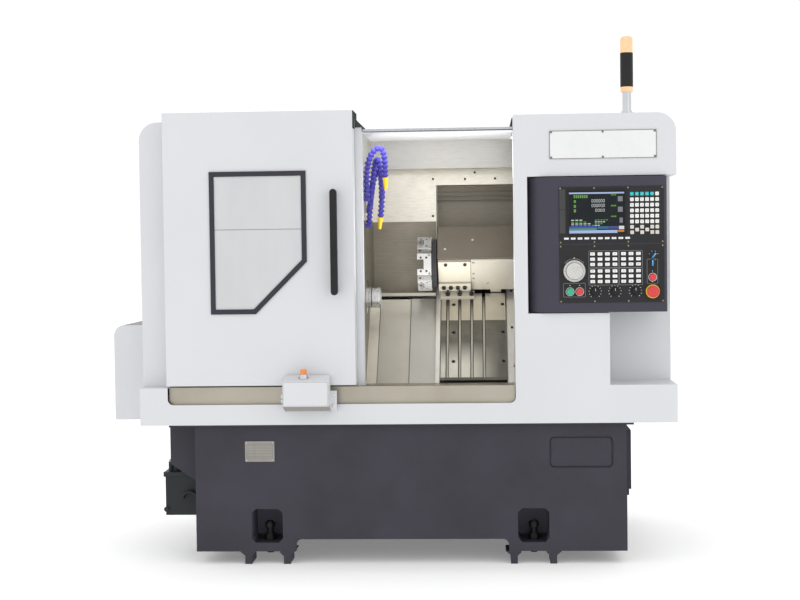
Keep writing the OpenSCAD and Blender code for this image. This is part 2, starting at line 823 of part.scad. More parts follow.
// Sheet cover above the turret housing and its front apron
module slide_cover() {
    color([0.42, 0.39, 0.35]) place() slant() {
        block([104, 124, 72], [398, 290, 74]);
        block([104, 122, 72], [398, 124, 76]);
        block([housing_r + 1, 110, 70], [398, 124, 72]);
        block([housing_r + 1, 110, -plate_n + 18], [398, 112, 70]);
        block([396, 112, -plate_n + 18], [398, 290, 72]);
        block([104, 288, -plate_n + 18], [398, 290, 72]);
        block([300, 112, -plate_n], [340, 290, -plate_n + 18]);
        block([246, 112, -plate_n + 18], [398, 290, -plate_n + 20]);
    }
}

// Turret disc on its shaft
module turret_disc() {
    color([0.1, 0.1, 0.1]) place() slant() translate([0, turret_p, 0]) {
        bar_x(82, 101, disc_r);
        bar_x(101, 106, 52);
        bar_x(105, 195, 30);
    }
}

// Tool blocks around the disc, each with a tool slot and set screws
module tool_blocks() {
    color([0.78, 0.78, 0.78]) place() slant() translate([0, turret_p, 0]) {
        for (i = [0 : stations - 1]) rotate([180 + turret_rest + 360 / stations * i, 0, 0]) difference() {
            block([30, block_y, -block_w / 2], [82, disc_r, block_w / 2]);
            block([29, block_y - 1, -18], [54, disc_r + 1, 18]);
            for (x = [43, 64], z = [-25, 25]) translate([x, 0, z]) bar_y(disc_r - 10, disc_r + 1, 4);
            for (z = [-34, 34]) translate([75, 0, z]) bar_y(disc_r - 10, disc_r + 1, 4);
            translate([40, (block_y + disc_r) / 2, 0]) cylinder(r = 4, h = block_w + 2, center = true);
        }
        bar_x(58, 82, 44);
        bar_x(50, 58, 20);
    }
}

// Door box with the window opening
module door_shell() {
    color([0.85, 0.86, 0.87]) place() difference() {
        block([door_l, -door_proud, door_z], [door_r, door_back, door_top]);
        block([door_l + sheet, -door_proud + sheet, door_z + sheet],
            [door_r - sheet, door_back + 1, door_top - sheet]);
        front(-door_proud - 1, sheet + 2) polygon(window_points(-6));
    }
}

// Dark hanger along the top of the door, with its end cap
module door_hanger() {
    color([0.16, 0.19, 0.19]) place() {
        block([door_l + 4, door_back, case_top + free], [door_r, door_back + 90, door_top - 2]);
        block([door_r, -door_proud + 1, roof_z + 8], [door_r + 2, door_back, door_top]);
        block([door_r, door_back, case_top + free], [door_r + 2, door_back + 92, door_top]);
    }
}

// Dark frame around the window
module window_frame() {
    color([0.24, 0.24, 0.28]) place() difference() {
        front(-door_proud - 5, 5) polygon(window_points(0));
        front(-door_proud - 6, 7) polygon(window_points(-window_rim));
    }
}

// Two window panes that meet at a seam
module window_panes() {
    seam = 1186;
    color([0.78, 0.79, 0.8]) place() front(-door_proud - 1.5, 1.5) {
        intersection() {
            polygon(window_points(-window_rim));
            translate([door_l + 141, 800]) square([400, seam - 800]);
        }
        intersection() {
            polygon(window_points(-window_rim));
            translate([door_l + 141, seam + 1]) square([400, 300]);
        }
    }
}

// Black bar handle
module door_handle() {
    x = door_l + 600;
    color([0.03, 0.03, 0.03]) place() translate([x, 0, 0]) {
        front(-door_proud - 44, 22) round_rect([-12, 955], [12, 1322], 11.9);
        for (z = [975, 1302]) translate([0, 0, z]) bar_y(-door_proud - 23, -door_proud, 9);
    }
}

// Plan of the console with its rounded end
module console_plan() {
    y1 = -console_proud;
    translate([swivel_x, swivel_y]) circle(console_end_r);
    translate([swivel_x, y1]) square([console_r - swivel_x - 8, 2 * console_end_r]);
    translate([swivel_x, y1 + 8]) square([console_r - swivel_x, 2 * console_end_r - 16]);
    for (y = [y1 + 8, y1 + 2 * console_end_r - 8]) translate([console_r - 8, y]) circle(8);
}

// Bores in which the controls sit
module control_bores() {
    for (c = controls) translate([c[0], 0, c[1]]) bar_y(face - 5, 14, c[2] + free);
}

// Console housing on its swivel pins
module console_housing() {
    color([0.28, 0.28, 0.34]) place() {
        difference() {
            translate([0, 0, console_z]) linear_extrude(console_h) console_plan();
            control_bores();
        }
        translate([swivel_x, swivel_y, console_z - 8]) cylinder(r = 8, h = console_h + 16);
        translate([swivel_x, swivel_y, console_z - 2.5]) cylinder(r = 20, h = 4);
    }
}

// Two black control panels with collars around the controls
module control_panels() {
    color([0.05, 0.05, 0.06]) place() difference() {
        union() {
            front(face, 2) {
                round_rect([536, 1122], [895, 1318], 3);
                round_rect([536, 918], [895, 1118], 3);
            }
            for (x = [541, 657, 773, 890], z = [1127, 1313, 923, 1113]) {
                translate([x, 0, z]) bar_y(face - 1, face + 1, 3);
            }
            translate([855, 0, 955]) bar_y(face - 2, face + 1, 25);
            for (x = [572, 605]) translate([x, 0, 957]) bar_y(face - 2, face + 1, 15);
            translate([855, 0, 1004]) bar_y(face - 2, face + 1, 15);
            translate([587, 0, 1028]) bar_y(face - 2, face + 1, 40);
        }
        control_bores();
    }
}

// Screen in its bezel
module screen() {
    color([0.1, 0.12, 0.14]) place() {
        difference() {
            front(face - 2, 2) round_rect([565, 1150], [767, 1309], 3);
            front(face - 3, 2) translate([571, 1157]) square([189, 145]);
        }
    }
}

// One key with its middle at x and z
module key(x, z, w, h) {
    block([x - w / 2, face - 3, z - h / 2], [x + w / 2, face, z + h / 2]);
}

// Keys of both panels and the soft keys under the screen
module keys() {
    color([0.85, 0.85, 0.83]) place() {
        for (i = [0 : 9]) key(561 + 23.3 * i, 1140, 16, 7);
        for (i = [0 : 5], j = [0 : 5]) key(786 + 17.2 * i, 1291 - 19 * j, 12.4, 12.4);
        for (i = [0, 2, 4, 5], z = [1177.5, 1159]) key(786 + 17.2 * i, z, 12.4, 12.4);
        for (i = [1, 3]) key(786 + 17.2 * i, 1168, 12.4, 12.4);
        for (x = [650, 675.5, 701, 726.5, 756, 781.5, 807], z = [1086, 1068, 1050, 1027, 1009, 991]) {
            key(x, z, 16, 11);
        }
    }
}

// Pulse handwheel
module handwheel() {
    color([0.8, 0.8, 0.82]) place() translate([587, 0, 1028]) {
        bar_y(face - 14, face - 2 - free, 37);
        bar_y(face - 30, face - 14, 28);
        bar_y(face - 3, 8, 8);
        translate([16, 0, 8]) bar_y(face - 38, face - 30, 6);
    }
}

// Push button of the list of controls
module push_button(i) {
    place() translate([controls[i][0], 0, controls[i][1]]) {
        bar_y(face - 11, 6, controls[i][2]);
        bar_y(face - 12, face - 11, controls[i][2] - 1.5);
    }
}

// Green start button
module green_button() {
    color([0.05, 0.6, 0.3]) push_button(0);
}

// Red halt button
module red_button() {
    color([0.8, 0.08, 0.08]) push_button(1);
}

// Lit red button
module lit_button() {
    color([0.85, 0.1, 0.1]) push_button(2);
}

// Emergency stop mushroom
module stop_button() {
    color([0.85, 0.1, 0.08]) place() translate([controls[3][0], 0, controls[3][1]]) {
        bar_y(face - 16, 6, controls[3][2]);
        bar_y(face - 24, face - 14, 20);
        bar_y(face - 27, face - 24, 17);
    }
}

// Override knob with a grip bar
module knob(i) {
    place() translate([controls[i][0], 0, controls[i][1]]) {
        bar_y(face - 1, 10, controls[i][2]);
        bar_y(face - 7, face - free, 14);
        bar_y(face - 17, face - 7, 11);
        block([-2.5, face - 20, -13], [2.5, face - 7, 13]);
    }
}

// Feed override knob
module feed_knob() {
    color([0.06, 0.06, 0.06]) knob(4);
}

// Rapid override knob
module rapid_knob() {
    color([0.06, 0.06, 0.06]) knob(5);
}

// Spindle speed knob
module spindle_knob() {
    color([0.06, 0.06, 0.06]) knob(6);
}

// Pointer switch of the list of controls, turned clockwise by the angle a
module pointer_switch(i, a) {
    place() translate([controls[i][0], 0, controls[i][1]]) rotate([0, a, 0]) {
        bar_y(face - 1, 10, controls[i][2]);
        bar_y(face - 6, face - free, 10);
        block([-3.5, face - 16, -12], [3.5, face - 6, 12]);
    }
}

// Lower pointer switch
module mode_switch() {
    color([0.1, 0.4, 0.75]) pointer_switch(7, 0);
}

// Upper pointer switch
module axis_switch() {
    color([0.1, 0.4, 0.75]) pointer_switch(9, 38);
}

// Button box in front of the sill
module button_box() {
    y2 = -22;
    color([0.86, 0.87, 0.88]) place() {
        difference() {
            side(-421, 158) polygon([
                [-box_front, 574],
                [y2 - 6, 549],
                [y2, 549],
                [y2, 677],
                [-box_front, 660]
            ]);
            translate([-352, -58, 600]) cylinder(r = 11 + free, h = 100);
        }
        block([-263, y2 - 12, 556], [-240, y2, 622]);
        block([-427, y2 - 12, 556], [-421, y2, 622]);
        for (z = [572, 608]) {
            translate([-251, 0, z]) bar_y(y2 - 15, y2 - 12, 5);
            block([-262, y2, z - 10], [-240, 0, z - 8]);
        }
        block([-262, y2, 549], [-240, 0, 560]);
        block([-427, y2, 549], [-405, 0, 560]);
        for (z = [590, 606]) translate([-431, -60, z]) bar_x(0, 11, 7);
    }
}

// Orange push button on top of the box
module box_button() {
    color([0.9, 0.4, 0.1]) place() translate([-352, -58, 650]) {
        cylinder(r = 11, h = 50);
    }
}

// Lubrication tank with lid, filler, fitting and handle
module lube_tank() {
    l = -base_l;
    color([0.2, 0.24, 0.24]) place() {
        difference() {
            block([l - 127, 130, 160], [l, 330, 300]);
            block([l - 124, 133, 163], [l - 3, 327, 301]);
        }
        block([l - 133, 125, 300], [l, 335, 316]);
        translate([l - 92, 170, 316]) {
            cylinder(r = 19, h = 18);
            translate([0, 0, 18]) cylinder(r = 14, h = 8);
        }
        translate([l - 112, 160, 316]) cylinder(r = 9, h = 34);
        translate([l - 124, 122, 182]) bar_y(0, 8, 9);
        translate([l - 36, 130, 222]) {
            difference() {
                bar_y(-24, 0, 28);
                bar_y(-25, -4, 22);
                block([-40, -40, -40], [40, 10, -8]);
                block([-40, -26, -40], [40, -4, 0]);
            }
        }
    }
}

// Dark sheet guards beside the base and the drip strip under the skirt
module base_guards() {
    color([0.16, 0.17, 0.18]) place() {
        front(112, sheet) polygon([
            [-858, skirt_z],
            [-858, 349],
            [-base_l, 278],
            [-base_l, skirt_z]
        ]);
        block([-845, base_y - 12, skirt_z - 10], [792, base_y, skirt_z]);
        block([base_r, 100, 253], [base_r + 20, 500, 462]);
        block([base_r, 96, 232], [base_r + 12, 504, 253]);
    }
}

// Hinge knuckle of the cabinet, from z to z + h
module knuckle(z, h, r) {
    translate([hinge_x, hinge_y, z]) cylinder(r = r, h = h);
}

// Electrical cabinet at the rear, with the fixed half of its hinges
module electrical_cabinet() {
    color([0.84, 0.85, 0.86]) place() {
        difference() {
            block([-640, case_d, sill_z], [640, cabinet_y2, case_top - 60]);
            block([-600, case_d + 20, sill_z + 40], [600, cabinet_y2 + 1, case_top - 100]);
        }
        for (z = hinge_z) {
            knuckle(z, hinge_h, hinge_r);
            block([-640, cabinet_y2 - 1, z], [hinge_x - 1, hinge_y - 4, z + hinge_h]);
        }
    }
}

// Hinged cabinet door with its louvres, its recessed handle and the moving half of its hinges
module cabinet_door() {
    y1 = cabinet_y2 + free;
    color([0.84, 0.85, 0.86]) place() {
        difference() {
            block([hinge_x + 2, y1, sill_z + 15], [630, cabinet_back, case_top - 75]);
            for (z = hinge_z) knuckle(z - free, hinge_h + 2 * free, hinge_r + 1);
            for (x = [-420, 180], i = [0 : 7]) {
                z = sill_z + 90 + 20 * i;
                block([x, cabinet_back - 4, z], [x + 240, cabinet_back + 1, z + 10]);
            }
            difference() {
                block([560, cabinet_back - 14, 1060], [600, cabinet_back + 1, 1180]);
                block([572, cabinet_back - 15, 1070], [588, cabinet_back, 1170]);
            }
        }
        for (z = hinge_z) knuckle(z + hinge_h + free, hinge_h, hinge_r);
    }
}

// Signal lamp post
module lamp_post() {
    color([0.75, 0.76, 0.78]) place() translate([lamp_x, 66, case_top]) {
        cylinder(r = 27, h = 5);
        cylinder(r = 19, h = 12);
        cylinder(r = 15.5, h = 77);
    }
}

// Signal lamp lens with a domed top
module lamp_lens() {
    h = 193;
    color([0.98, 0.72, 0.4]) place() translate([lamp_x, 66, case_top + 77]) {
        cylinder(r = 21.5, h = h - 12);
        rotate_extrude() {
            translate([0, h - 12]) square([9.5, 12]);
            intersection() {
                translate([9.5, h - 12]) circle(12);
                translate([0, h - 12]) square([30, 30]);
            }
        }
    }
}

// Paths of the coolant hoses, up from the wall, over a bend and down
hose_a = [
    [-141, 262, 1206], [-135, 262, 1290], [-122, 260, 1390], [-114, 250, 1430], [-104, 226, 1438],
    [-94, 208, 1412], [-89, 206, 1340], [-89, 206, 1290], [-95, 206, 1226]
];
hose_b = [
    [-141, 176, 1300], [-141, 176, 1400], [-128, 176, 1446], [-106, 176, 1474],
    [-84, 176, 1474], [-75, 176, 1440], [-74, 176, 1368]
];
hose_c = [
    [-141, 312, 1262], [-134, 312, 1325], [-124, 310, 1374], [-112, 298, 1398],
    [-98, 268, 1394], [-91, 262, 1345], [-93, 262, 1296]
];
hoses = [hose_a, hose_b, hose_c];
hose_pitch = 16;
hose_r = 11;
hose_neck = 5;

// One hose link along Z, a long below its middle and b above it
module hose_link(a, b) {
    rotate_extrude($fn = 24) polygon([
        [0, -a],
        [hose_neck, -a],
        [hose_r - 4.5, -4],
        [hose_r, -1.5],
        [hose_r, 1.5],
        [hose_r - 4.5, 4],
        [hose_neck, b],
        [0, b]
    ]);
}

// Length of a hose link i from its middle to its joint with its neighbour j
function reach(p, u, i, j) = let (t = half_turn(u[i], u[j]))
    norm(p[j] - p[i]) / 2 * sqrt(1 + t * t) - hose_neck * t - free / 2;

// Piece turned so that its Z axis follows a direction
module along(d) {
    rotate([0, acos(d[2] / norm(d)), atan2(d[1], d[0])]) children();
}

// Linked coolant hoses
module coolant_hoses() {
    color([0.2, 0.2, 0.6]) place() for (h = hoses) {
        path = smooth(h, 4);
        l = lengths(path);
        total = l[len(l) - 1];
        n = floor(total / hose_pitch);
        block([wall_l + sheet + eps, h[0][1] - 8, h[0][2] - 16], h[0] + [8, 8, -free]);
        half = total / n / 2;
        spots = [for (i = [0 : n - 1]) at_length(path, l, (2 * i + 1) * half)];
        ways = [for (i = [0 : n - 1]) way(path, l, (2 * i + 1) * half)];
        for (i = [0 : n - 1]) translate(spots[i]) along(ways[i]) hose_link(
            i == 0 ? half - free / 2 : reach(spots, ways, i, i - 1),
            i == n - 1 ? half - free / 2 : reach(spots, ways, i, i + 1)
        );
    }
}

// Yellow nozzles at the hose ends
module coolant_nozzles() {
    color([0.95, 0.7, 0.05]) place() for (h = hoses) {
        d = h[len(h) - 1] - h[len(h) - 2];
        translate(h[len(h) - 1] + d / norm(d) * 0.1) along(d) rotate_extrude($fn = 32) polygon([
            [0, 0],
            [hose_r - 1, 0],
            [hose_r - 1, 8],
            [hose_r - 2.5, 11],
            [hose_r - 5.5, 42],
            [0, 42]
        ]);
    }
}

base_casting();
levelling_bolts();
skirt_tray();
front_fascia();
left_casing();
right_casing();
roof_panel();
hood_ends();
top_rail();
door_sill();
chamber_liner();
way_covers();
slant_bed();
z_rails();
z_drive();
headstock();
spindle_motor();
drive_belt();
side_cover();
coolant_hoses();
coolant_nozzles();
lube_tank();
base_guards();
electrical_cabinet();
cabinet_door();
lamp_post();
lamp_lens();
button_box();
box_button();
motor_pulley();
spindle_shaft();
collet_chuck();
spindle_drive();
saddle();
x_drive();
t_slot_plate();
turret_housing();
slide_cover();
clamp_screws();
turret_disc();
tool_blocks();
door_shell();
door_hanger();
window_frame();
window_panes();
door_handle();
console_housing();
control_panels();
screen();
keys();
handwheel();
green_button();
red_button();
lit_button();
stop_button();
feed_knob();
rapid_knob();
spindle_knob();
mode_switch();
axis_switch();
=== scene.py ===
import bmesh
import bpy
import json
import math
from mathutils import Matrix, Vector


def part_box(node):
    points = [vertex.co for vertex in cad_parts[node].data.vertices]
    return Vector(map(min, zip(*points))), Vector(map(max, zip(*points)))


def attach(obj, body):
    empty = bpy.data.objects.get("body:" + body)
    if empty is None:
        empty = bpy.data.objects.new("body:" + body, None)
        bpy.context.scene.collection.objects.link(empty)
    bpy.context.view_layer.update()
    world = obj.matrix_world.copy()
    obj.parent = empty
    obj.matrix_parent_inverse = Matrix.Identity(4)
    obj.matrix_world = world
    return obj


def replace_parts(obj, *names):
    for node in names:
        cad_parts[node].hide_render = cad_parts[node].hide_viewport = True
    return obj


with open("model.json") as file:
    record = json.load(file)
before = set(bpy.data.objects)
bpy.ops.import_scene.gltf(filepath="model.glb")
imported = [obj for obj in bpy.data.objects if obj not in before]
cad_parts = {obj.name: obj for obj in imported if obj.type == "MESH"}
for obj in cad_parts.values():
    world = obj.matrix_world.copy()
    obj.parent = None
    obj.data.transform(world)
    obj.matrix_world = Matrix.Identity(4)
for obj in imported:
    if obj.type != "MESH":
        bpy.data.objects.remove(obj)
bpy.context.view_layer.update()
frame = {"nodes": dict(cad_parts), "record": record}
nodes = frame["nodes"]


SHIFT = (75, -587.5, 0)  # from the drawing to the shared frame, in millimetres
SPINDLE_Y, SPINDLE_Z = 300, 933
BED_P = SPINDLE_Y + SPINDLE_Z + SHIFT[1]  # y + z of the shared frame where p is 0
BED_N = SPINDLE_Z - SPINDLE_Y - SHIFT[1]  # z - y of the shared frame where n is 0
OPEN = (None, None, None)


def at(x, y, z):
    """Point of the drawing, in millimetres, as a point of the shared frame in metres."""
    return Vector([(value + shift) / 1000 for value, shift in zip((x, y, z), SHIFT)])


def slant(x, p, n):
    """Point of the slant bed: x along the spindle, p up the slant, n away from the bed."""
    k = math.sqrt(0.5)
    return at(x, SPINDLE_Y + (p - n) * k, SPINDLE_Z + (p + n) * k)


# Camera and light

yaw, pitch, roll = math.radians(3.17), math.radians(2.1), math.radians(-0.749)
look = Vector((-math.sin(yaw) * math.cos(pitch), math.cos(yaw) * math.cos(pitch), -math.sin(pitch)))
right = look.cross(Vector((0, 0, 1))).normalized()
up = right.cross(look)
right, up = (right * math.cos(roll) + up * math.sin(roll), up * math.cos(roll) - right * math.sin(roll))
camera = bpy.data.objects.new("camera", bpy.data.cameras.new("camera"))
bpy.context.scene.collection.objects.link(camera)
camera.data.sensor_width = 36
camera.data.lens = 67.5
camera.data.clip_end = 100
turn = Matrix((right, up, -look)).transposed().to_4x4()
camera.matrix_world = Matrix.Translation(at(271.7, -5213.3, 1125.7)) @ turn
bpy.context.scene.camera = camera
bpy.context.scene.view_settings.view_transform = "Standard"

world = bpy.data.worlds.new("studio")
bpy.context.scene.world = world
world.use_nodes = True
background = world.node_tree.nodes["Background"]
background.inputs["Color"].default_value = (1, 1, 1, 1)
background.inputs["Strength"].default_value = 1.05


def lamp(name, place, target, size, power):
    """Soft rectangular lamp at a place, turned to a target."""
    data = bpy.data.lights.new(name, "AREA")
    data.shape = "RECTANGLE"
    data.size, data.size_y = size
    data.energy = power
    o = bpy.data.objects.new(name, data)
    bpy.context.scene.collection.objects.link(o)
    o.location = place
    o.rotation_mode = "QUATERNION"
    o.rotation_quaternion = (Vector(target) - Vector(place)).to_track_quat("-Z", "Y")
    return o


lamp("key", (-2.6, -4.2, 3.6), (0, 0, 0.9), (2.6, 2.6), 3)
lamp("fill", (3.2, -4.0, 2.2), (0, 0, 0.9), (2.4, 2.4), 4)
lamp("rear", (0.5, 4.0, 3.4), (0, 0, 0.9), (3.0, 2.0), 8)
# Inside the chamber, and out of sight of the camera and of mirror images
for name, place, target, size, power in (
    ("chamber_low", at(150, 200, 900), at(150, 300, 1526), (0.4, 0.2), 3.2),
    ("chamber_high", at(117, 160, 1500), at(160, 480, 940), (0.5, 0.15), 1.7),
):
    inner = lamp(name, place, target, size, power)
    inner.visible_camera = False
    inner.visible_glossy = False


# Materials

def tree(name):
    """New material with its node tree and its one shader."""
    m = bpy.data.materials.new(name)
    m.use_nodes = True
    nt = m.node_tree
    nt.nodes.clear()
    out = nt.nodes.new("ShaderNodeOutputMaterial")
    shader = nt.nodes.new("ShaderNodeBsdfPrincipled")
    nt.links.new(shader.outputs[0], out.inputs[0])
    return m, nt, shader


def noise(nt, scale, detail=3.0, stretch=(1, 1, 1), angle=(0, 0, 0)):
    """Noise in the shared frame, which every piece has as its own."""
    place = nt.nodes.new("ShaderNodeTexCoord")
    spin = nt.nodes.new("ShaderNodeMapping")
    spin.inputs["Rotation"].default_value = angle
    spin.inputs["Scale"].default_value = stretch
    tex = nt.nodes.new("ShaderNodeTexNoise")
    tex.inputs["Scale"].default_value = scale
    tex.inputs["Detail"].default_value = detail
    nt.links.new(place.outputs["Object"], spin.inputs["Vector"])
    nt.links.new(spin.outputs["Vector"], tex.inputs["Vector"])
    return tex.outputs["Fac"]


def ranged(nt, value, low, high, a=0.3, b=0.7):
    r = nt.nodes.new("ShaderNodeMapRange")
    r.inputs["From Min"].default_value = a
    r.inputs["From Max"].default_value = b
    r.inputs["To Min"].default_value = low
    r.inputs["To Max"].default_value = high
    nt.links.new(value, r.inputs["Value"])
    return r.outputs["Result"]


def mixed(nt, fac, a, b):
    mix = nt.nodes.new("ShaderNodeMix")
    mix.data_type = "RGBA"
    nt.links.new(fac, mix.inputs[0])
    for socket, value in ((mix.inputs[6], a), (mix.inputs[7], b)):
        if isinstance(value, tuple):
            socket.default_value = (*value, 1)
        else:
            nt.links.new(value, socket)
    return mix.outputs[2]


def maths(nt, operation, a, b):
    node = nt.nodes.new("ShaderNodeMath")
    node.operation = operation
    for socket, value in ((node.inputs[0], a), (node.inputs[1], b)):
        if isinstance(value, float):
            socket.default_value = value
        else:
            nt.links.new(value, socket)
    return node.outputs[0]


def drawn(nt):
    """The x, y and z of a surface's points in the shared frame."""
    place = nt.nodes.new("ShaderNodeTexCoord")
    split = nt.nodes.new("ShaderNodeSeparateXYZ")
    nt.links.new(place.outputs["Object"], split.inputs[0])
    return split.outputs


def moved(limit, shift, scale=1):
    """Limit of the drawing, in millimetres, in metres of the shared frame."""
    return None if limit is None else (limit * scale + shift) / 1000


def between(nt, rows):
    """Mask of where each value lies between its limits, from rows of (value, low, high)."""
    mask = None
    for value, low, high in rows:
        for limit, test in ((low, "GREATER_THAN"), (high, "LESS_THAN")):
            if limit is not None:
                part = maths(nt, test, value, limit)
                mask = part if mask is None else maths(nt, "MULTIPLY", mask, part)
    return mask


def inside(nt, low=OPEN, high=OPEN):
    """Mask of the part of a surface that lies between two corners of the drawing."""
    return between(nt, [(value, moved(a, shift), moved(b, shift))
                        for value, a, b, shift in zip(drawn(nt), low, high, SHIFT)])


def on_bed(nt, low=OPEN, high=OPEN):
    """Mask of the part of a surface that lies between two corners of the slant bed: x, p up the slant, n off it."""
    x, y, z = drawn(nt)
    values = ((x, SHIFT[0], 1), (maths(nt, "ADD", y, z), BED_P, math.sqrt(2)),
              (maths(nt, "SUBTRACT", z, y), BED_N, math.sqrt(2)))
    return between(nt, [(value, moved(a, shift, scale), moved(b, shift, scale))
                        for (value, shift, scale), a, b in zip(values, low, high)])


def up_bed(nt, low, high):
    """Slow change up the slant bed, from none at low to all at high."""
    x, y, z = drawn(nt)
    return ranged(nt, maths(nt, "ADD", y, z), 1, 0, *(moved(p, BED_P, math.sqrt(2)) for p in (high, low)))


def along_bed(nt, low, high):
    """Slow change along the spindle, from none at low to all at high."""
    return ranged(nt, drawn(nt)[0], 1, 0, *(moved(x, SHIFT[0]) for x in (high, low)))


def shade(c, f):
    """Colour made lighter or darker."""
    return tuple(min(1.0, x * f) for x in c)


def material(name, colour, rough, metallic=0.0, vary=0.05, tone=2.5, grain=(700, (1, 1, 1), 0.1, 0.0003),
             angle=(0, 0, 0), grain_colour=0.0, edge=1.0, edge_colour=None, edge_amount=0.35, coat=0.0,
             specular=0.5, patina=None, zones=()):
    """Surface with a slow change of tone, a grain that bumps and stains, and edges that are rounded and lighter, partly
    wear and partly a painted highlight.
    """
    m, nt, shader = tree(name)
    slow = noise(nt, tone, 4.0)
    scale, stretch, strength, depth = grain
    fine = noise(nt, scale, 2.0, stretch, angle)
    surface = mixed(nt, ranged(nt, slow, 0, 1), shade(colour, 1 - vary), shade(colour, 1 + vary))
    for mask, tint in zones:
        toned = mixed(nt, ranged(nt, slow, 0, 1), shade(tint, 1 - vary), shade(tint, 1 + vary))
        surface = mixed(nt, mask(nt), surface, toned)
    if grain_colour:
        streak = ranged(nt, fine, 0, grain_colour)
        surface = mixed(nt, streak, surface, mixed(nt, streak, surface, shade(colour, 0.45)))
    if patina:
        spots = noise(nt, patina[1], 6.0)
        surface = mixed(nt, ranged(nt, spots, 0, patina[2], 0.5, 0.75), surface, patina[0])
    bevel = nt.nodes.new("ShaderNodeBevel")
    bevel.samples = 4
    bevel.inputs["Radius"].default_value = edge / 1000
    geometry = nt.nodes.new("ShaderNodeNewGeometry")
    dot = nt.nodes.new("ShaderNodeVectorMath")
    dot.operation = "DOT_PRODUCT"
    nt.links.new(bevel.outputs["Normal"], dot.inputs[0])
    nt.links.new(geometry.outputs["Normal"], dot.inputs[1])
    # Edges drawn lighter: partly wear, partly a painted highlight along the rounded edges
    edge_wear_and_highlight = ranged(nt, dot.outputs["Value"], edge_amount, 0, 0.8, 0.995)
    surface = mixed(nt, edge_wear_and_highlight, surface, edge_colour or shade(colour, 1.35))
    nt.links.new(surface, shader.inputs["Base Color"])
    nt.links.new(ranged(nt, fine if metallic else slow, rough[0], rough[1]), shader.inputs["Roughness"])
    bump = nt.nodes.new("ShaderNodeBump")
    bump.inputs["Strength"].default_value = strength
    bump.inputs["Distance"].default_value = depth
    nt.links.new(fine, bump.inputs["Height"])
    nt.links.new(bevel.outputs["Normal"], bump.inputs["Normal"])
    nt.links.new(bump.outputs["Normal"], shader.inputs["Normal"])
    shader.inputs["Metallic"].default_value = metallic
    shader.inputs["Coat Weight"].default_value = coat
    shader.inputs["Specular IOR Level"].default_value = specular
    return m


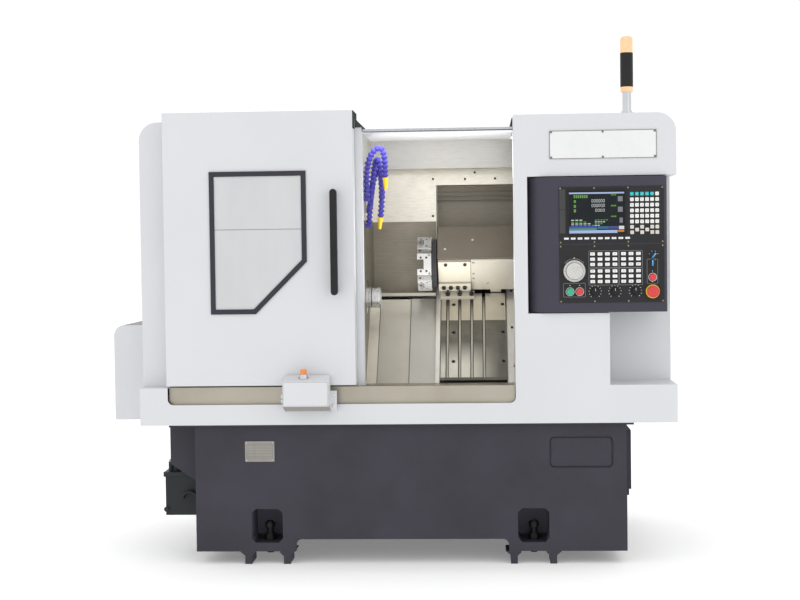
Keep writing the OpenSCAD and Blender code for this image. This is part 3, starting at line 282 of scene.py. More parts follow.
BED = (math.radians(-45), 0, 0)
WHITE = (0.665, 0.675, 0.695)
white_finish = dict(rough=(0.34, 0.46), vary=0.018, grain=(1400, (1, 1, 1), 0.06, 0.0002), edge=1.6, edge_amount=0.2)
CAST = (0.037, 0.035, 0.048)
cast_finish = dict(rough=(0.46, 0.62), specular=0.35, tone=6, grain=(320, (1, 1, 1), 0.35, 0.0008), grain_colour=0.2,
                   edge=3.0, edge_amount=0.3)
# Stainless in painted shade: the dark brown of the cross slide's cover on its shaded slanted face
SHADED_STAINLESS = (0.185, 0.158, 0.122)
look_of = {
    "white_paint": material("white_paint", WHITE, **white_finish),
    "cast_paint": material("cast_paint", CAST, vary=0.12, **cast_finish),
    "dark_paint": material("dark_paint", (0.024, 0.028, 0.03), (0.45, 0.6), specular=0.25, vary=0.15, edge=1.0),
    "tank_paint": material("tank_paint", (0.018, 0.022, 0.023), (0.4, 0.55), specular=0.3, vary=0.12, edge=1.5),
    "cream_paint": material("cream_paint", (0.25, 0.228, 0.182), (0.35, 0.5), vary=0.04, edge=1.5,
                            patina=((0.32, 0.28, 0.215), 30, 0.2)),
    "console_paint": material("console_paint", (0.045, 0.043, 0.062), (0.44, 0.58), specular=0.35, vary=0.06,
                              grain=(900, (1, 1, 1), 0.25, 0.0003), edge=2.0, edge_amount=0.25),
    "stainless": material("stainless", (0.66, 0.62, 0.54), (0.28, 0.42), 1.0, vary=0.06, tone=5,
                          grain=(90, (1, 1, 14), 0.06, 0.0003), grain_colour=0.22, edge=0.8, edge_amount=0.2,
                          patina=((0.5, 0.43, 0.33), 9, 0.3)),
    # Painted light and shade on the cover: the dark base is painted shade, the lighter apron below p 121 is a lit copy,
    # and the near-white edges are a painted highlight on the lip
    "stainless_dark": material("stainless_dark", SHADED_STAINLESS, (0.3, 0.45), 0.8, vary=0.08, tone=6,
                               grain=(90, (14, 1, 1), 0.08, 0.0003), angle=BED, grain_colour=0.3, edge=0.8,
                               edge_colour=(0.8, 0.78, 0.74), edge_amount=0.9,
                               zones=[(lambda nt: on_bed(nt, high=(None, 121, None)), (0.77, 0.73, 0.63))]),
    "bright_steel": material("bright_steel", (0.72, 0.72, 0.72), (0.2, 0.34), 1.0, vary=0.05, tone=12,
                             grain=(260, (9, 1, 1), 0.08, 0.0002), grain_colour=0.15, edge=0.8, edge_amount=0.3),
    "machined_steel": material("machined_steel", (0.5, 0.485, 0.45), (0.26, 0.4), 1.0, vary=0.08, tone=7,
                               grain=(160, (10, 1, 1), 0.08, 0.0002), angle=BED, grain_colour=0.25, edge=1.0,
                               edge_amount=0.45, patina=((0.3, 0.25, 0.19), 14, 0.35)),
    "black_steel": material("black_steel", (0.03, 0.03, 0.032), (0.35, 0.5), 0.6, vary=0.2, tone=30,
                            edge=0.7, edge_colour=(0.2, 0.2, 0.2), edge_amount=0.5),
    "cast_iron_grey": material("cast_iron_grey", (0.17, 0.175, 0.185), (0.45, 0.6), vary=0.1, tone=8,
                               grain=(400, (1, 1, 1), 0.35, 0.0006), grain_colour=0.2, edge=2.0),
    "motor_black": material("motor_black", (0.035, 0.037, 0.042), (0.4, 0.55), vary=0.15, edge=1.5),
    "chrome_tube": material("chrome_tube", (0.6, 0.61, 0.635), (0.08, 0.16), 1.0, vary=0.03, tone=20,
                            grain=(500, (1, 1, 8), 0.03, 0.0001), edge=0.8),
    "belt_rubber": material("belt_rubber", (0.02, 0.02, 0.021), (0.6, 0.75), vary=0.2, tone=30,
                            grain=(1500, (1, 1, 1), 0.3, 0.0003), edge=0.8),
    "black_plastic": material("black_plastic", (0.012, 0.012, 0.013), (0.36, 0.48), specular=0.28, vary=0.2, tone=30,
                              grain=(2200, (1, 1, 1), 0.2, 0.0002), edge=1.2, edge_colour=(0.05, 0.05, 0.052)),
    "panel_black": material("panel_black", (0.018, 0.018, 0.02), (0.46, 0.58), specular=0.3, vary=0.1, tone=12,
                            grain=(2500, (1, 1, 1), 0.25, 0.0002), edge=0.6, edge_colour=(0.09, 0.09, 0.095)),
    "frame_grey": material("frame_grey", (0.032, 0.031, 0.043), (0.44, 0.58), specular=0.3, vary=0.08, tone=10,
                           grain=(1800, (1, 1, 1), 0.2, 0.0002), edge=1.2),
    "key_plastic": material("key_plastic", (0.86, 0.86, 0.84), (0.35, 0.48), vary=0.03, tone=40,
                            grain=(3000, (1, 1, 1), 0.1, 0.0001), edge=0.4, edge_amount=0.1),
    "green_plastic": material("green_plastic", (0.02, 0.42, 0.22), (0.2, 0.3), vary=0.06, tone=60, coat=0.4,
                              edge=1.0),
    "red_plastic": material("red_plastic", (0.66, 0.03, 0.03), (0.2, 0.32), vary=0.07, tone=60, coat=0.4,
                            edge=1.0),
    "orange_plastic": material("orange_plastic", (0.9, 0.24, 0.02), (0.2, 0.32), vary=0.07, tone=60, coat=0.4,
                               edge=1.0),
    "blue_plastic": material("blue_plastic", (0.01, 0.012, 0.014), (0.3, 0.42), vary=0.1, tone=60, edge=0.8),
    "hose_blue": material("hose_blue", (0.042, 0.033, 0.31), (0.22, 0.34), vary=0.15, tone=45, coat=0.3, edge=0.8,
                          edge_colour=(0.14, 0.12, 0.62)),
    "nozzle_yellow": material("nozzle_yellow", (0.95, 0.58, 0.02), (0.28, 0.4), vary=0.08, tone=50, coat=0.2,
                              edge=0.8),
    "satin_aluminium": material("satin_aluminium", (0.6, 0.59, 0.57), (0.26, 0.38), 1.0, vary=0.04, tone=25,
                                grain=(300, (1, 1, 1), 0.05, 0.0001), edge=0.8),
}
# Near-black, nearly unreflecting paint that stands for the shadow at the casing's roof end and the door's hanger,
# behind the door's top: painted shade
hood_shade_look = material("hood_shade_paint", (0.03, 0.036, 0.037), (0.6, 0.75), vary=0.15, edge=1.0, specular=0.03)
look_of_node = {
    "hood_ends": hood_shade_look,
    "door_hanger": hood_shade_look,
    "base_guards": material("guard_paint", CAST, vary=0.2, **cast_finish),
    # The lighter zones inside the two pockets are painted light on their inner faces
    "base_casting": material("base_paint_lit_pockets", CAST, vary=0.2, **cast_finish, zones=[
        (lambda nt, x=x: inside(nt, (x - 60, 46, 85), (x + 60, 320, 215)), (0.1, 0.096, 0.13)) for x in (-501, 441)]),
    # The darker zone on the lower front face is painted shade
    "button_box": material("box_paint_shaded_bottom", WHITE, **white_finish, zones=[
        (lambda nt: inside(nt, (-421.5, None, None), (-262.5, -36, 573.6)), (0.34, 0.32, 0.29))]),
    # The darker zone on the top face is painted shade
    "side_cover": material("cover_paint_shaded_top", WHITE, **white_finish, zones=[
        (lambda nt: inside(nt, (None, None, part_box("side_cover")[1][2] * 1000 - 0.6)), (0.2, 0.19, 0.17))]),
    "levelling_bolts": material("bolt_black", (0.008, 0.008, 0.009), (0.4, 0.5), vary=0.2, tone=30, edge=0.6,
                                specular=0.25),
    "door_sill": material("sill_steel", (0.43, 0.4, 0.335), (0.3, 0.44), 0.9, vary=0.06, tone=5,
                          grain=(90, (1, 14, 14), 0.06, 0.0003), grain_colour=0.22, edge=0.8, edge_amount=0.2,
                          patina=((0.34, 0.3, 0.24), 9, 0.3)),
    # Painted light and shade on the chamber's stainless: the bright beige base is a lit copy for the slope, which faces
    # the light from above; the darker lower back panel is partly its own brushed finish and partly painted shade; the
    # low left wall and the recess pocket are darker, painted shade; the grey upper zone is the grey brushed sheet
    "chamber_liner": material(
        "chamber_steel_lit_and_shaded", (0.94, 0.9, 0.78), (0.3, 0.44), 0.75, vary=0.05, tone=5,
        grain=(22, (1, 1, 12), 0.05, 0.0003), grain_colour=0.5, edge=0.8, edge_amount=0.2,
        patina=((0.5, 0.43, 0.33), 9, 0.25),
        zones=[
            (lambda nt: inside(nt, (None, 600, None), (94, 640, 1215.4)), (0.25, 0.225, 0.18)),
            (lambda nt: inside(nt, high=(-150, None, 1215.4)), (0.2, 0.178, 0.14)),
            (lambda nt: inside(nt, (96, 625, None), (None, None, 1355.5)), (0.24, 0.215, 0.175)),
            (lambda nt: inside(nt, (None, None, 1417.5)), (0.62, 0.61, 0.575)),
        ]),
    "way_covers": material(
        "cover_steel_lit_and_shaded", (0.52, 0.49, 0.415), (0.4, 0.55), 0.4, vary=0.1, tone=4,
        grain=(90, (1, 12, 12), 0.06, 0.0003), angle=BED, grain_colour=0.25, edge=0.8, edge_amount=0.2,
        patina=((0.42, 0.38, 0.31), 7, 0.45),
        # The leftmost cover is lighter: painted light where its mirror image of the dark left wall darkens it; the zone
        # above p 101 is darker: painted shade on the shelf
        zones=[(lambda nt: on_bed(nt, high=(-114.3, 100, None)), (0.8, 0.755, 0.64)),
               (lambda nt: on_bed(nt, (None, 101, None)), (0.38, 0.355, 0.3))]),
    "saddle": material(
        "saddle_steel", (0.68, 0.655, 0.595), (0.28, 0.42), 0.7, vary=0.07, tone=7,
        grain=(160, (10, 1, 1), 0.08, 0.0002), angle=BED, grain_colour=0.2, edge=1.0, edge_amount=0.4,
        patina=((0.36, 0.32, 0.25), 14, 0.3),
        zones=[(lambda nt: on_bed(nt, high=(96.8, None, None)), (0.47, 0.455, 0.405))]),
    "t_slot_plate": material(
        "plate_steel_lit_and_shaded", (0.44, 0.41, 0.34), (0.28, 0.42), 0.75, vary=0.07, tone=7,
        grain=(120, (12, 1, 1), 0.08, 0.0002), angle=BED, grain_colour=0.25, edge=0.8, edge_amount=0.45,
        edge_colour=(0.7, 0.68, 0.62), patina=((0.3, 0.26, 0.2), 12, 0.3),
        # Painted light and shade on the plate: below p -29 it is darker; the lighter band fading up and along the plate
        # is a painted reflection; the slots below n -97.4 are painted shade, with lighter middle strips left on their
        # floors; below p -308.6 it is darker; above p 106, under the housing, it is a painted shadow
        zones=[(lambda nt: on_bed(nt, high=(None, -29, None)), (0.112, 0.105, 0.087)),
               (lambda nt: maths(nt, "MULTIPLY", up_bed(nt, -135, -245), along_bed(nt, 330, 215)), (0.56, 0.535, 0.45)),
               (lambda nt: on_bed(nt, high=(None, None, -97.4)), (0.05, 0.046, 0.04))]
        + [(lambda nt, x=x: on_bed(nt, (x - 3.2, -309, None), (x + 3.2, None, -97.4)), (0.5, 0.47, 0.4))
           for x in (140, 184.7, 229.4, 274.1)]
        + [(lambda nt: on_bed(nt, high=(None, -308.6, None)), (0.1, 0.09, 0.075)),
           (lambda nt: on_bed(nt, (None, 106, None)), (0.012, 0.011, 0.01))]),
    "tool_blocks": material(
        "block_steel", (0.46, 0.455, 0.44), (0.24, 0.36), 0.65, vary=0.04, tone=12,
        grain=(260, (9, 1, 1), 0.08, 0.0002), grain_colour=0.12, edge=0.8, edge_amount=0.3),
    "top_rail": material(
        "rail_steel", (0.5, 0.52, 0.55), (0.24, 0.36), 0.8, vary=0.05, tone=9,
        grain=(120, (1, 9, 9), 0.06, 0.0002), grain_colour=0.15, edge=0.8, edge_amount=0.2),
    "collet_chuck": material(
        "chuck_steel", (0.68, 0.68, 0.675), (0.22, 0.32), 0.8, vary=0.02, tone=3,
        grain=(120, (12, 1, 1), 0.05, 0.0002), grain_colour=0.12, edge=0.8, edge_amount=0.3),
    "roof_panel": material(
        "roof_paint_lit_underside", WHITE, **white_finish,
        # The near-white zone below z 1527 is painted light on the roof's underside
        zones=[(lambda nt: inside(nt, high=(None, None, 1527)), (0.93, 0.94, 0.95))]),
}


def glass_material(name, tint, clear, rough):
    """Sheet that lets some light through and mirrors a little, with fine streaks."""
    m, nt, shader = tree(name)
    streak = noise(nt, 14, 4.0, (1, 1, 0.3))
    surface = mixed(nt, ranged(nt, streak, 0, 1), shade(tint, 0.97), shade(tint, 1.02))
    nt.links.new(surface, shader.inputs["Base Color"])
    nt.links.new(ranged(nt, streak, rough[0], rough[1]), shader.inputs["Roughness"])
    shader.inputs["Alpha"].default_value = clear
    shader.inputs["Coat Weight"].default_value = 0.6
    return m


look_of["window_glass"] = glass_material("window_glass", (0.68, 0.685, 0.695), 0.84, (0.06, 0.14))
look_of["screen_glass"] = material("screen_glass", (0.012, 0.015, 0.018), (0.3, 0.4), vary=0.15, tone=30, edge=0.8,
                                   edge_colour=(0.03, 0.03, 0.034), specular=0.15)


def glowing(name, colour, light, strength, rough=0.35):
    """Lit plastic or display colour."""
    m, nt, shader = tree(name)
    slow = noise(nt, 60, 3.0)
    surface = mixed(nt, ranged(nt, slow, 0, 1), shade(colour, 0.9), shade(colour, 1.08))
    nt.links.new(surface, shader.inputs["Base Color"])
    nt.links.new(ranged(nt, slow, rough - 0.06, rough + 0.06), shader.inputs["Roughness"])
    shader.inputs["Emission Color"].default_value = (*light, 1)
    shader.inputs["Emission Strength"].default_value = strength
    return m


look_of["amber_lens"] = glowing("amber_lens", (0.8, 0.5, 0.27), (1.0, 0.66, 0.4), 0.2)

for row in frame["record"]["subparts"]:
    for place in nodes[row["node"]].material_slots:
        place.material = look_of_node.get(row["node"]) or look_of[row["material_slot"]]


# Mesh code for the detail pieces

class Shape:
    """Closed forms lofted through loops of points."""

    def __init__(self):
        self.points = []
        self.faces = []

    def loops(self, loops, closed=False):
        n, m, first = len(loops[0]), len(loops), len(self.points)
        for loop in loops:
            self.points.extend(loop)
        for k in range(m if closed else m - 1):
            a, b = first + k * n, first + (k + 1) % m * n
            self.faces += [(a + i, a + (i + 1) % n, b + (i + 1) % n, b + i) for i in range(n)]
        if not closed:
            self.faces.append(tuple(range(first + n - 1, first - 1, -1)))
            self.faces.append(tuple(range(first + (m - 1) * n, first + m * n)))

    def pad(self, place, outline, levels, closed=False):
        """An outline raised through levels of (height, inset); closed joins the last level to the first, as a ring."""
        self.loops([[place(u, v, w) for u, v in outline(d)] for w, d in levels], closed)


# Places: u and v lie in the surface, w stands out from it

def front(y):
    return lambda u, v, w: at(u, y - w, v)


def top(z):
    return lambda u, v, w: at(u, v, z + w)


def bed(n):
    return lambda u, v, w: slant(u, v, n + w)


def apron(p):
    return lambda u, v, w: slant(u, p - w, v)


# Outlines: drawn in by d all round

def disc(u, v, r, n=24):
    steps = [2 * math.pi * k / n for k in range(n)]
    return lambda d: [(u + (r - d) * math.cos(t), v + (r - d) * math.sin(t)) for t in steps]


def rect(u0, v0, u1, v1, r=0.0, n=4):
    def outline(d):
        a, b, c, e = u0 + d, v0 + d, u1 - d, v1 - d
        if not r:
            return [(a, b), (c, b), (c, e), (a, e)]
        q = max(r - d, 0.1)
        corners = ((c - q, e - q, 0), (a + q, e - q, 90), (a + q, b + q, 180), (c - q, b + q, 270))
        return [(x + q * math.cos(math.radians(s + 90 * k / n)), y + q * math.sin(math.radians(s + 90 * k / n)))
                for x, y, s in corners for k in range(n + 1)]
    return outline


def bar(u, v, length, width, angle=0.0):
    c, s = math.cos(math.radians(angle)), math.sin(math.radians(angle))

    def outline(d):
        a, b = length / 2 - d, width / 2 - d
        return [(u + x * c - y * s, v + x * s + y * c) for x, y in ((-a, -b), (a, -b), (a, b), (-a, b))]
    return outline


def ink(height=0.12):
    """Levels of a printed area."""
    return [(0, 0), (height, 0)]


def line(width, height=0.12):
    """Levels of a printed outline, for a closed pad."""
    return [(0, 0), (height, 0), (height, width), (0, width)]


def head(shape, place, u, v, r, profile, socket=0.0, depth=0.0, n=24):
    """Round head through (height, share of the radius), with a hexagon socket of a given share sunk into its top."""
    steps = [2 * math.pi * k / n for k in range(n)]
    levels = [(w, lambda t, q=q: r * q) for w, q in profile]
    if socket:
        def flats(t):
            return socket * r * math.cos(math.pi / 6) / math.cos(t % (math.pi / 3) - math.pi / 6)
        high = profile[-1][0]
        levels += [(high, flats), (high - depth, flats)]
    shape.loops([[place(u + q(t) * math.cos(t), v + q(t) * math.sin(t), w) for t in steps] for w, q in levels])


def cap_screw(shape, place, u, v, r, h):
    head(shape, place, u, v, r, [(0, 1), (0.8 * h, 1), (h, 0.86)], 0.54, 0.5 * h)


def dome_screw(shape, place, u, v, r, h):
    head(shape, place, u, v, r, [(0, 1), (0.35 * h, 1), (0.75 * h, 0.84), (h, 0.6)], 0.44, 0.4 * h)


def rivet(shape, place, u, v, r, h):
    head(shape, place, u, v, r, [(0, 1), (0.35 * h, 1), (0.8 * h, 0.75), (h, 0.4)])


def ticks(shape, place, u, v, r0, r1, width, start, end, count, level=0.12):
    """Short bars round a middle, between two radii and two angles."""
    for k in range(count):
        t = start + (end - start) * k / (count - 1)
        c, s = math.cos(math.radians(t)), math.sin(math.radians(t))
        mid = (r0 + r1) / 2
        shape.pad(place, bar(u + mid * c, v + mid * s, r1 - r0, width, t), ink(level))


def piece(name, body, shape, look):
    """Mesh object of a shape, which rides on a body."""
    mesh = bpy.data.meshes.new(name)
    mesh.from_pydata([tuple(p) for p in shape.points], [], shape.faces)
    work = bmesh.new()
    work.from_mesh(mesh)
    bmesh.ops.recalc_face_normals(work, faces=work.faces)
    work.to_mesh(mesh)
    work.free()
    mesh.shade_smooth()
    mesh.set_sharp_from_angle(angle=math.radians(35))
    mesh.materials.append(look)
    o = bpy.data.objects.new(name, mesh)
    bpy.context.scene.collection.objects.link(o)
    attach(o, body)
    return o


ink_white = material("ink_white", (0.78, 0.79, 0.8), (0.4, 0.5), vary=0.04, tone=60, edge=0.05)
# Dark ink for print, also used for the painted shade in grooves
dark_ink_and_shade = material("dark_ink_and_shade", (0.05, 0.05, 0.055), (0.4, 0.5), vary=0.1, tone=60, edge=0.05)
ink_grey = material("ink_grey", (0.3, 0.3, 0.31), (0.4, 0.5), vary=0.06, tone=40, edge=0.05)
brass = material("brass", (0.36, 0.3, 0.17), (0.24, 0.36), 1.0, vary=0.08, tone=60, edge=0.3)
chrome = look_of["chrome_tube"]
steel = look_of["bright_steel"]
black_head = look_of["black_steel"]

# Coolant hoses, on the paths that the drawing gives

HOSE_PITCH = 16
LINK = ((-1.0, 7.4), (-0.8, 8.0), (-0.62, 9.0), (-0.5, 10.9), (-0.32, 11.6), (0.0, 11.8), (0.3, 11.5), (0.48, 10.6),
        (0.56, 8.6), (0.8, 7.8))  # place along half a pitch, radius


def smooth(path, n):
    """Path with its corners cut n times."""
    for _ in range(n):
        cut = [a * (1 - f) + b * f for a, b in zip(path, path[1:]) for f in (0.25, 0.75)]
        path = [path[0]] + cut + [path[-1]]
    return path


def along(path, lengths, s):
    """Point at a length along a path, from the lengths at its corners."""
    for k in range(len(path) - 1):
        if lengths[k + 1] >= s or k == len(path) - 2:
            return path[k] + (path[k + 1] - path[k]) * ((s - lengths[k]) / (lengths[k + 1] - lengths[k]))


hose_paths = (
    ((-141, 262, 1206), (-135, 262, 1290), (-122, 260, 1390), (-114, 250, 1430), (-104, 226, 1438), (-94, 208, 1412),
     (-89, 206, 1340), (-89, 206, 1290), (-95, 206, 1226)),
    ((-141, 176, 1300), (-141, 176, 1400), (-128, 176, 1446), (-106, 176, 1474), (-84, 176, 1474), (-75, 176, 1440),
     (-74, 176, 1368)),
    ((-141, 312, 1262), (-134, 312, 1325), (-124, 310, 1374), (-112, 298, 1398), (-98, 268, 1394), (-91, 262, 1345),
     (-93, 262, 1296)),
)
hose_shape = Shape()
for route in hose_paths:
    path = smooth([Vector(p) for p in route], 4)
    lengths = [0.0]
    for a, b in zip(path, path[1:]):
        lengths.append(lengths[-1] + (b - a).length)
    total = lengths[-1]
    count = int(total / HOSE_PITCH)
    half = total / count / 2
    stations = [((2 * i + 1 + u) * half, r) for i in range(count) for u, r in LINK] + [(total, 7.4)]
    across = Vector((0, 1, 0))
    hoops = []
    for s, r in stations:
        way = along(path, lengths, min(s + 3, total)) - along(path, lengths, max(s - 3, 0.0))
        way.normalize()
        across = (across - way * across.dot(way)).normalized()
        other = way.cross(across)
        middle = along(path, lengths, s)
        hoops.append([at(*(middle + (across * math.cos(t) + other * math.sin(t)) * r))
                      for t in (2 * math.pi * k / 20 for k in range(20))])
    hose_shape.loops(hoops)
    x, y, z = route[0]
    hose_shape.pad(lambda u, v, w: at(-153 + w, u, v), rect(y - 8, z - 16, y + 8, z - 0.5, 2.5),
                   [(0.1, 0), (19.2, 0), (20, 0.8)])
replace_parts(piece("hose_links", "frame", hose_shape, look_of["hose_blue"]), "coolant_hoses")

# Keypads, as rows of (x, z, width, height)

panel_face, glass_face, key_face = front(-14), front(-15), front(-17)
pad_x = [786 + 17.2 * i for i in range(6)]
pad_z = [1291 - 19 * j for j in range(6)]
key_rows = {"key_caps": [], "key_caps_tinted": [], "key_caps_grey": []}
key_rows["key_caps"] += [(561 + 23.3 * i, 1140, 16, 7) for i in range(10)]
for j, z in enumerate(pad_z):
    for i, x in enumerate(pad_x):
        kind = "key_caps_tinted" if j == 0 and i < 5 else "key_caps"
        key_rows[kind].append((x, z, 12.4, 12.4))
for i in (0, 2, 4, 5):
    key_rows["key_caps_grey"] += [(pad_x[i], z, 12.4, 12.4) for z in (1177.5, 1159)]
key_rows["key_caps_grey"] += [(pad_x[i], 1168, 12.4, 12.4) for i in (1, 3)]
lower_x = (650, 675.5, 701, 726.5, 756, 781.5, 807)
lower_z = (1086, 1068, 1050, 1027, 1009, 991)
key_rows["key_caps"] += [(x, z, 16, 11) for x in lower_x for z in lower_z]
key_look = {
    "key_caps": look_of["key_plastic"],
    "key_caps_tinted": material("key_tinted", (0.01, 0.47, 0.52), (0.35, 0.48), vary=0.04, tone=40, edge=0.4),
    "key_caps_grey": material("key_grey", (0.7, 0.66, 0.6), (0.35, 0.48), vary=0.04, tone=40, edge=0.4),
}
marks = Shape()
for name, rows in key_rows.items():
    caps = Shape()
    for k, (x, z, w, h) in enumerate(rows):
        caps.pad(panel_face, rect(x - w / 2, z - h / 2, x + w / 2, z + h / 2, 1.6, 3),
                 [(0.1, 0), (2.2, 0), (2.8, 0.35), (3.0, 1.0)])
        wide = 0.3 + 0.3 * ((k * 7) % 5) / 4
        marks.pad(key_face, bar(x, z + (0.14 * h if k % 3 else 0), w * wide, 0.14 * h), ink(0.08))
        if k % 3:
            marks.pad(key_face, bar(x, z - 0.18 * h, w * (0.75 - wide / 2), 0.12 * h), ink(0.08))
    o = piece(name, "console", caps, key_look[name])
    if name == "key_caps":
        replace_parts(o, "keys")
key_ink = material("key_ink", (0.42, 0.42, 0.43), (0.4, 0.5), vary=0.06, tone=60, edge=0.05)
piece("key_marks", "console", marks, key_ink)

# Display, on a scale that runs from 195 to 1405 across the glass and from 255 to 1160 down it


def seen(cx, cy):
    """Point of the drawing, from a point of the display."""
    return 571 + (cx - 195) / 1210 * 189, 1302 - (cy - 255) / 905 * 145


def block(shape, x0, y0, x1, y1):
    a, b = seen(x0, y0), seen(x1, y1)
    shape.pad(glass_face, rect(a[0], b[1], b[0], a[1]), ink(0.1))


def row_of_marks(shape, x0, y0, x1, y1, count, gap=0.3):
    step = (x1 - x0) / count
    for k in range(count):
        block(shape, x0 + step * k, y0, x0 + step * (k + 1 - gap), y1)


def row_of_rings(shape, x0, y0, x1, y1, count):
    """A row of upright rings, the way a readout shows nothing."""
    step = (x1 - x0) / count
    for k in range(count):
        a, b = seen(x0 + step * k, y0), seen(x0 + step * (k + 0.72), y1)
        shape.pad(glass_face, rect(a[0], b[1], b[0], a[1], 1.4, 3), line(1.0, 0.1), closed=True)


def lit(name, colour, strength=0.8):
    return glowing(name, shade(colour, 0.25), colour, strength)


shown = {k: Shape() for k in ("blue", "royal", "green", "white", "grey", "teal", "orange", "slate")}
block(shown["blue"], 195, 278, 1405, 312)
row_of_marks(shown["green"], 300, 335, 615, 400, 7)
for y0, y1 in ((445, 500), (545, 605), (640, 705)):
    row_of_marks(shown["green"], 300, y0, 365, y1, 1)
row_of_rings(shown["white"], 690, 430, 990, 495, 6)
row_of_rings(shown["white"], 690, 530, 990, 595, 6)
row_of_rings(shown["white"], 770, 635, 990, 695, 4)
for y0, y1 in ((325, 350), (555, 585), (785, 815)):
    row_of_marks(shown["green"], 1115, y0, 1235, y1, 4)
block(shown["grey"], 1265, 370, 1370, 480)
block(shown["grey"], 1265, 595, 1370, 705)
block(shown["grey"], 1300, 830, 1370, 940)
for n, y in enumerate((865, 905, 945, 980)):
    row_of_marks(shown["green" if n % 2 else "white"], 240, y, 240 + 90 * (n + 3), y + 18, 3 + n)
    row_of_marks(shown["white" if n % 2 else "green"], 760, y, 760 + 60 * (5 - n), y + 18, 5 - n)
block(shown["royal"], 195, 1010, 800, 1046)
block(shown["green"], 195, 1052, 800, 1082)
block(shown["teal"], 815, 1010, 1065, 1065)
block(shown["slate"], 1072, 1010, 1275, 1065)
block(shown["white"], 1285, 1005, 1400, 1075)
block(shown["blue"], 195, 1092, 1252, 1156)
block(shown["orange"], 1262, 1088, 1400, 1135)
tints = {
    "blue": (0.33, 0.42, 0.64),
    "royal": (0.015, 0.06, 0.62),
    "green": (0.09, 0.3, 0.03),
    "white": (0.6, 0.63, 0.63),
    "grey": (0.17, 0.18, 0.2),
    "teal": (0.01, 0.11, 0.22),
    "orange": (0.5, 0.17, 0.01),
    "slate": (0.035, 0.055, 0.22),
}
for name, shape in shown.items():
    piece("display_" + name, "console", shape, lit("display_" + name, tints[name]))
bezel = Shape()
bezel.pad(front(-16), rect(565.3, 1150.3, 766.7, 1308.7, 3), [(0.02, 0), (0.5, 0.2), (0.5, 4.6), (0.02, 5.4)],
          closed=True)
piece("screen_bezel_rim", "console", bezel, look_of["black_plastic"])
cover = Shape()
for z0, z1 in ((1241, 1310), (1158, 1239.5)):
    cover.pad(panel_face, rect(538, z0, 558, z1, 2), [(0.05, 0), (0.5, 0), (0.7, 0.3), (0.7, 1.2)])
cover_look = material("port_cover", (0.05, 0.052, 0.051), (0.42, 0.52), vary=0.08, edge=0.5, specular=0.3)
piece("port_cover", "console", cover, cover_look)
gap = Shape()
gap.pad(front(-10), rect(536, 1118.3, 895, 1121.7), [(0.02, 0), (0.8, 0), (1.0, 0.2)])
piece("panel_gap_seal", "console", gap, look_of["black_plastic"])

# Printed lines, rings, knobs and screws of the panels

wheel_x, wheel_z = 587, 1028
buttons = ((572, 957), (605, 957), (855, 1004))
dials = (("feed_dial", 658, 956), ("rapid_dial", 726, 956), ("speed_dial", 796, 957))
# Body, x, z, turn of the grip, and the angles that its scale runs between
selectors = (("selector", 854, 1052.5, 90, (50, 130)), ("axis_selector", 859, 1079, 52, (20, 160)))

print_line = Shape()
for x0, z0, x1, z1 in ((549, 938, 625, 986), (637, 1038, 740, 1097), (740.9, 1038, 821, 1097), (637, 978, 740, 1037.1),
                       (740.9, 978, 821, 1037.1), (836, 981, 873, 1067)):
    print_line.pad(panel_face, rect(x0, z0, x1, z1, 3, 3), line(0.9), closed=True)
piece("panel_outlines", "console", print_line, ink_grey)
print_white = Shape()
for body, x, z in dials:
    ticks(print_white, panel_face, x, z, 19.5, 23, 1.5, -50, 230, 11)
for body, x, z, turned, ends in selectors:
    ticks(print_white, panel_face, x, z, 13.5, 16.5, 1.3, *ends, 4)
for x, z in buttons[:2]:
    print_white.pad(panel_face, disc(x, z + 21.5, 2.4, 3), ink())
for z in (988, 1025):
    print_white.pad(panel_face, disc(854.5, z, 1.4, 12), ink())
print_white.pad(panel_face, disc(wheel_x, 1072.5, 2.2, 16), ink())
ticks(print_white, panel_face, wheel_x, wheel_z, 41, 43.5, 0.7, 40, 140, 26)
piece("panel_print", "console", print_white, ink_white)

panel_heads = Shape()
for x in (541, 657, 773, 890):
    for z in (1127, 1313, 923, 1113):
        dome_screw(panel_heads, front(-15), x, z, 2.7, 0.9)
piece("panel_screw_heads", "console", panel_heads, brass)

button_rings = Shape()
for x, z in buttons:
    button_rings.pad(front(-16), disc(x, z, 15.0, 40), [(0, 0), (1.0, 0.4), (1.2, 1.2), (0.9, 2.4), (0, 2.7)],
                     closed=True)
piece("button_rings", "console", button_rings, chrome)
stop_ring = Shape()
stop_ring.pad(front(-16), disc(855, 955, 23.6, 48), [(0, 0), (1.6, 0), (2.0, 0.4), (2.0, 3.4), (0, 4.2)], closed=True)
piece("stop_ring", "console", stop_ring, look_of["nozzle_yellow"])

for body, x, z, turned, ends in selectors:
    grip = Shape()
    grip.pad(front(-30), bar(x, z, 19, 5.4, turned), [(0.02, 0), (0.8, 0), (1.2, 0.5), (1.2, 1.2)])
    grip_look = material(body + "_blue", (0.01, 0.3, 0.68), (0.25, 0.36), vary=0.08, tone=60, coat=0.2, edge=0.5)
    piece(body + "_grip", body, grip, grip_look)
    mark = Shape()
    c, s = math.cos(math.radians(turned)), math.sin(math.radians(turned))
    mark.pad(front(-31.2), bar(x + 5.5 * c, z + 5.5 * s, 6, 0.9, turned), ink(0.1))
    piece(body + "_mark", body, mark, ink_white)


def toothed(x, z, count, high, low, profile):
    """Closed band round a knob, with teeth between two radii; profile rows are (radius, or None for the teeth, y)."""
    loop = []
    for k in range(count):
        t = 2 * math.pi * k / count
        r = high if k % 4 < 2 else low
        c, s = math.cos(t), math.sin(t)
        loop.append([at(x + (q or r) * c, y, z + (q or r) * s) for q, y in profile])
    band = Shape()
    band.loops(loop, closed=True)
    return band


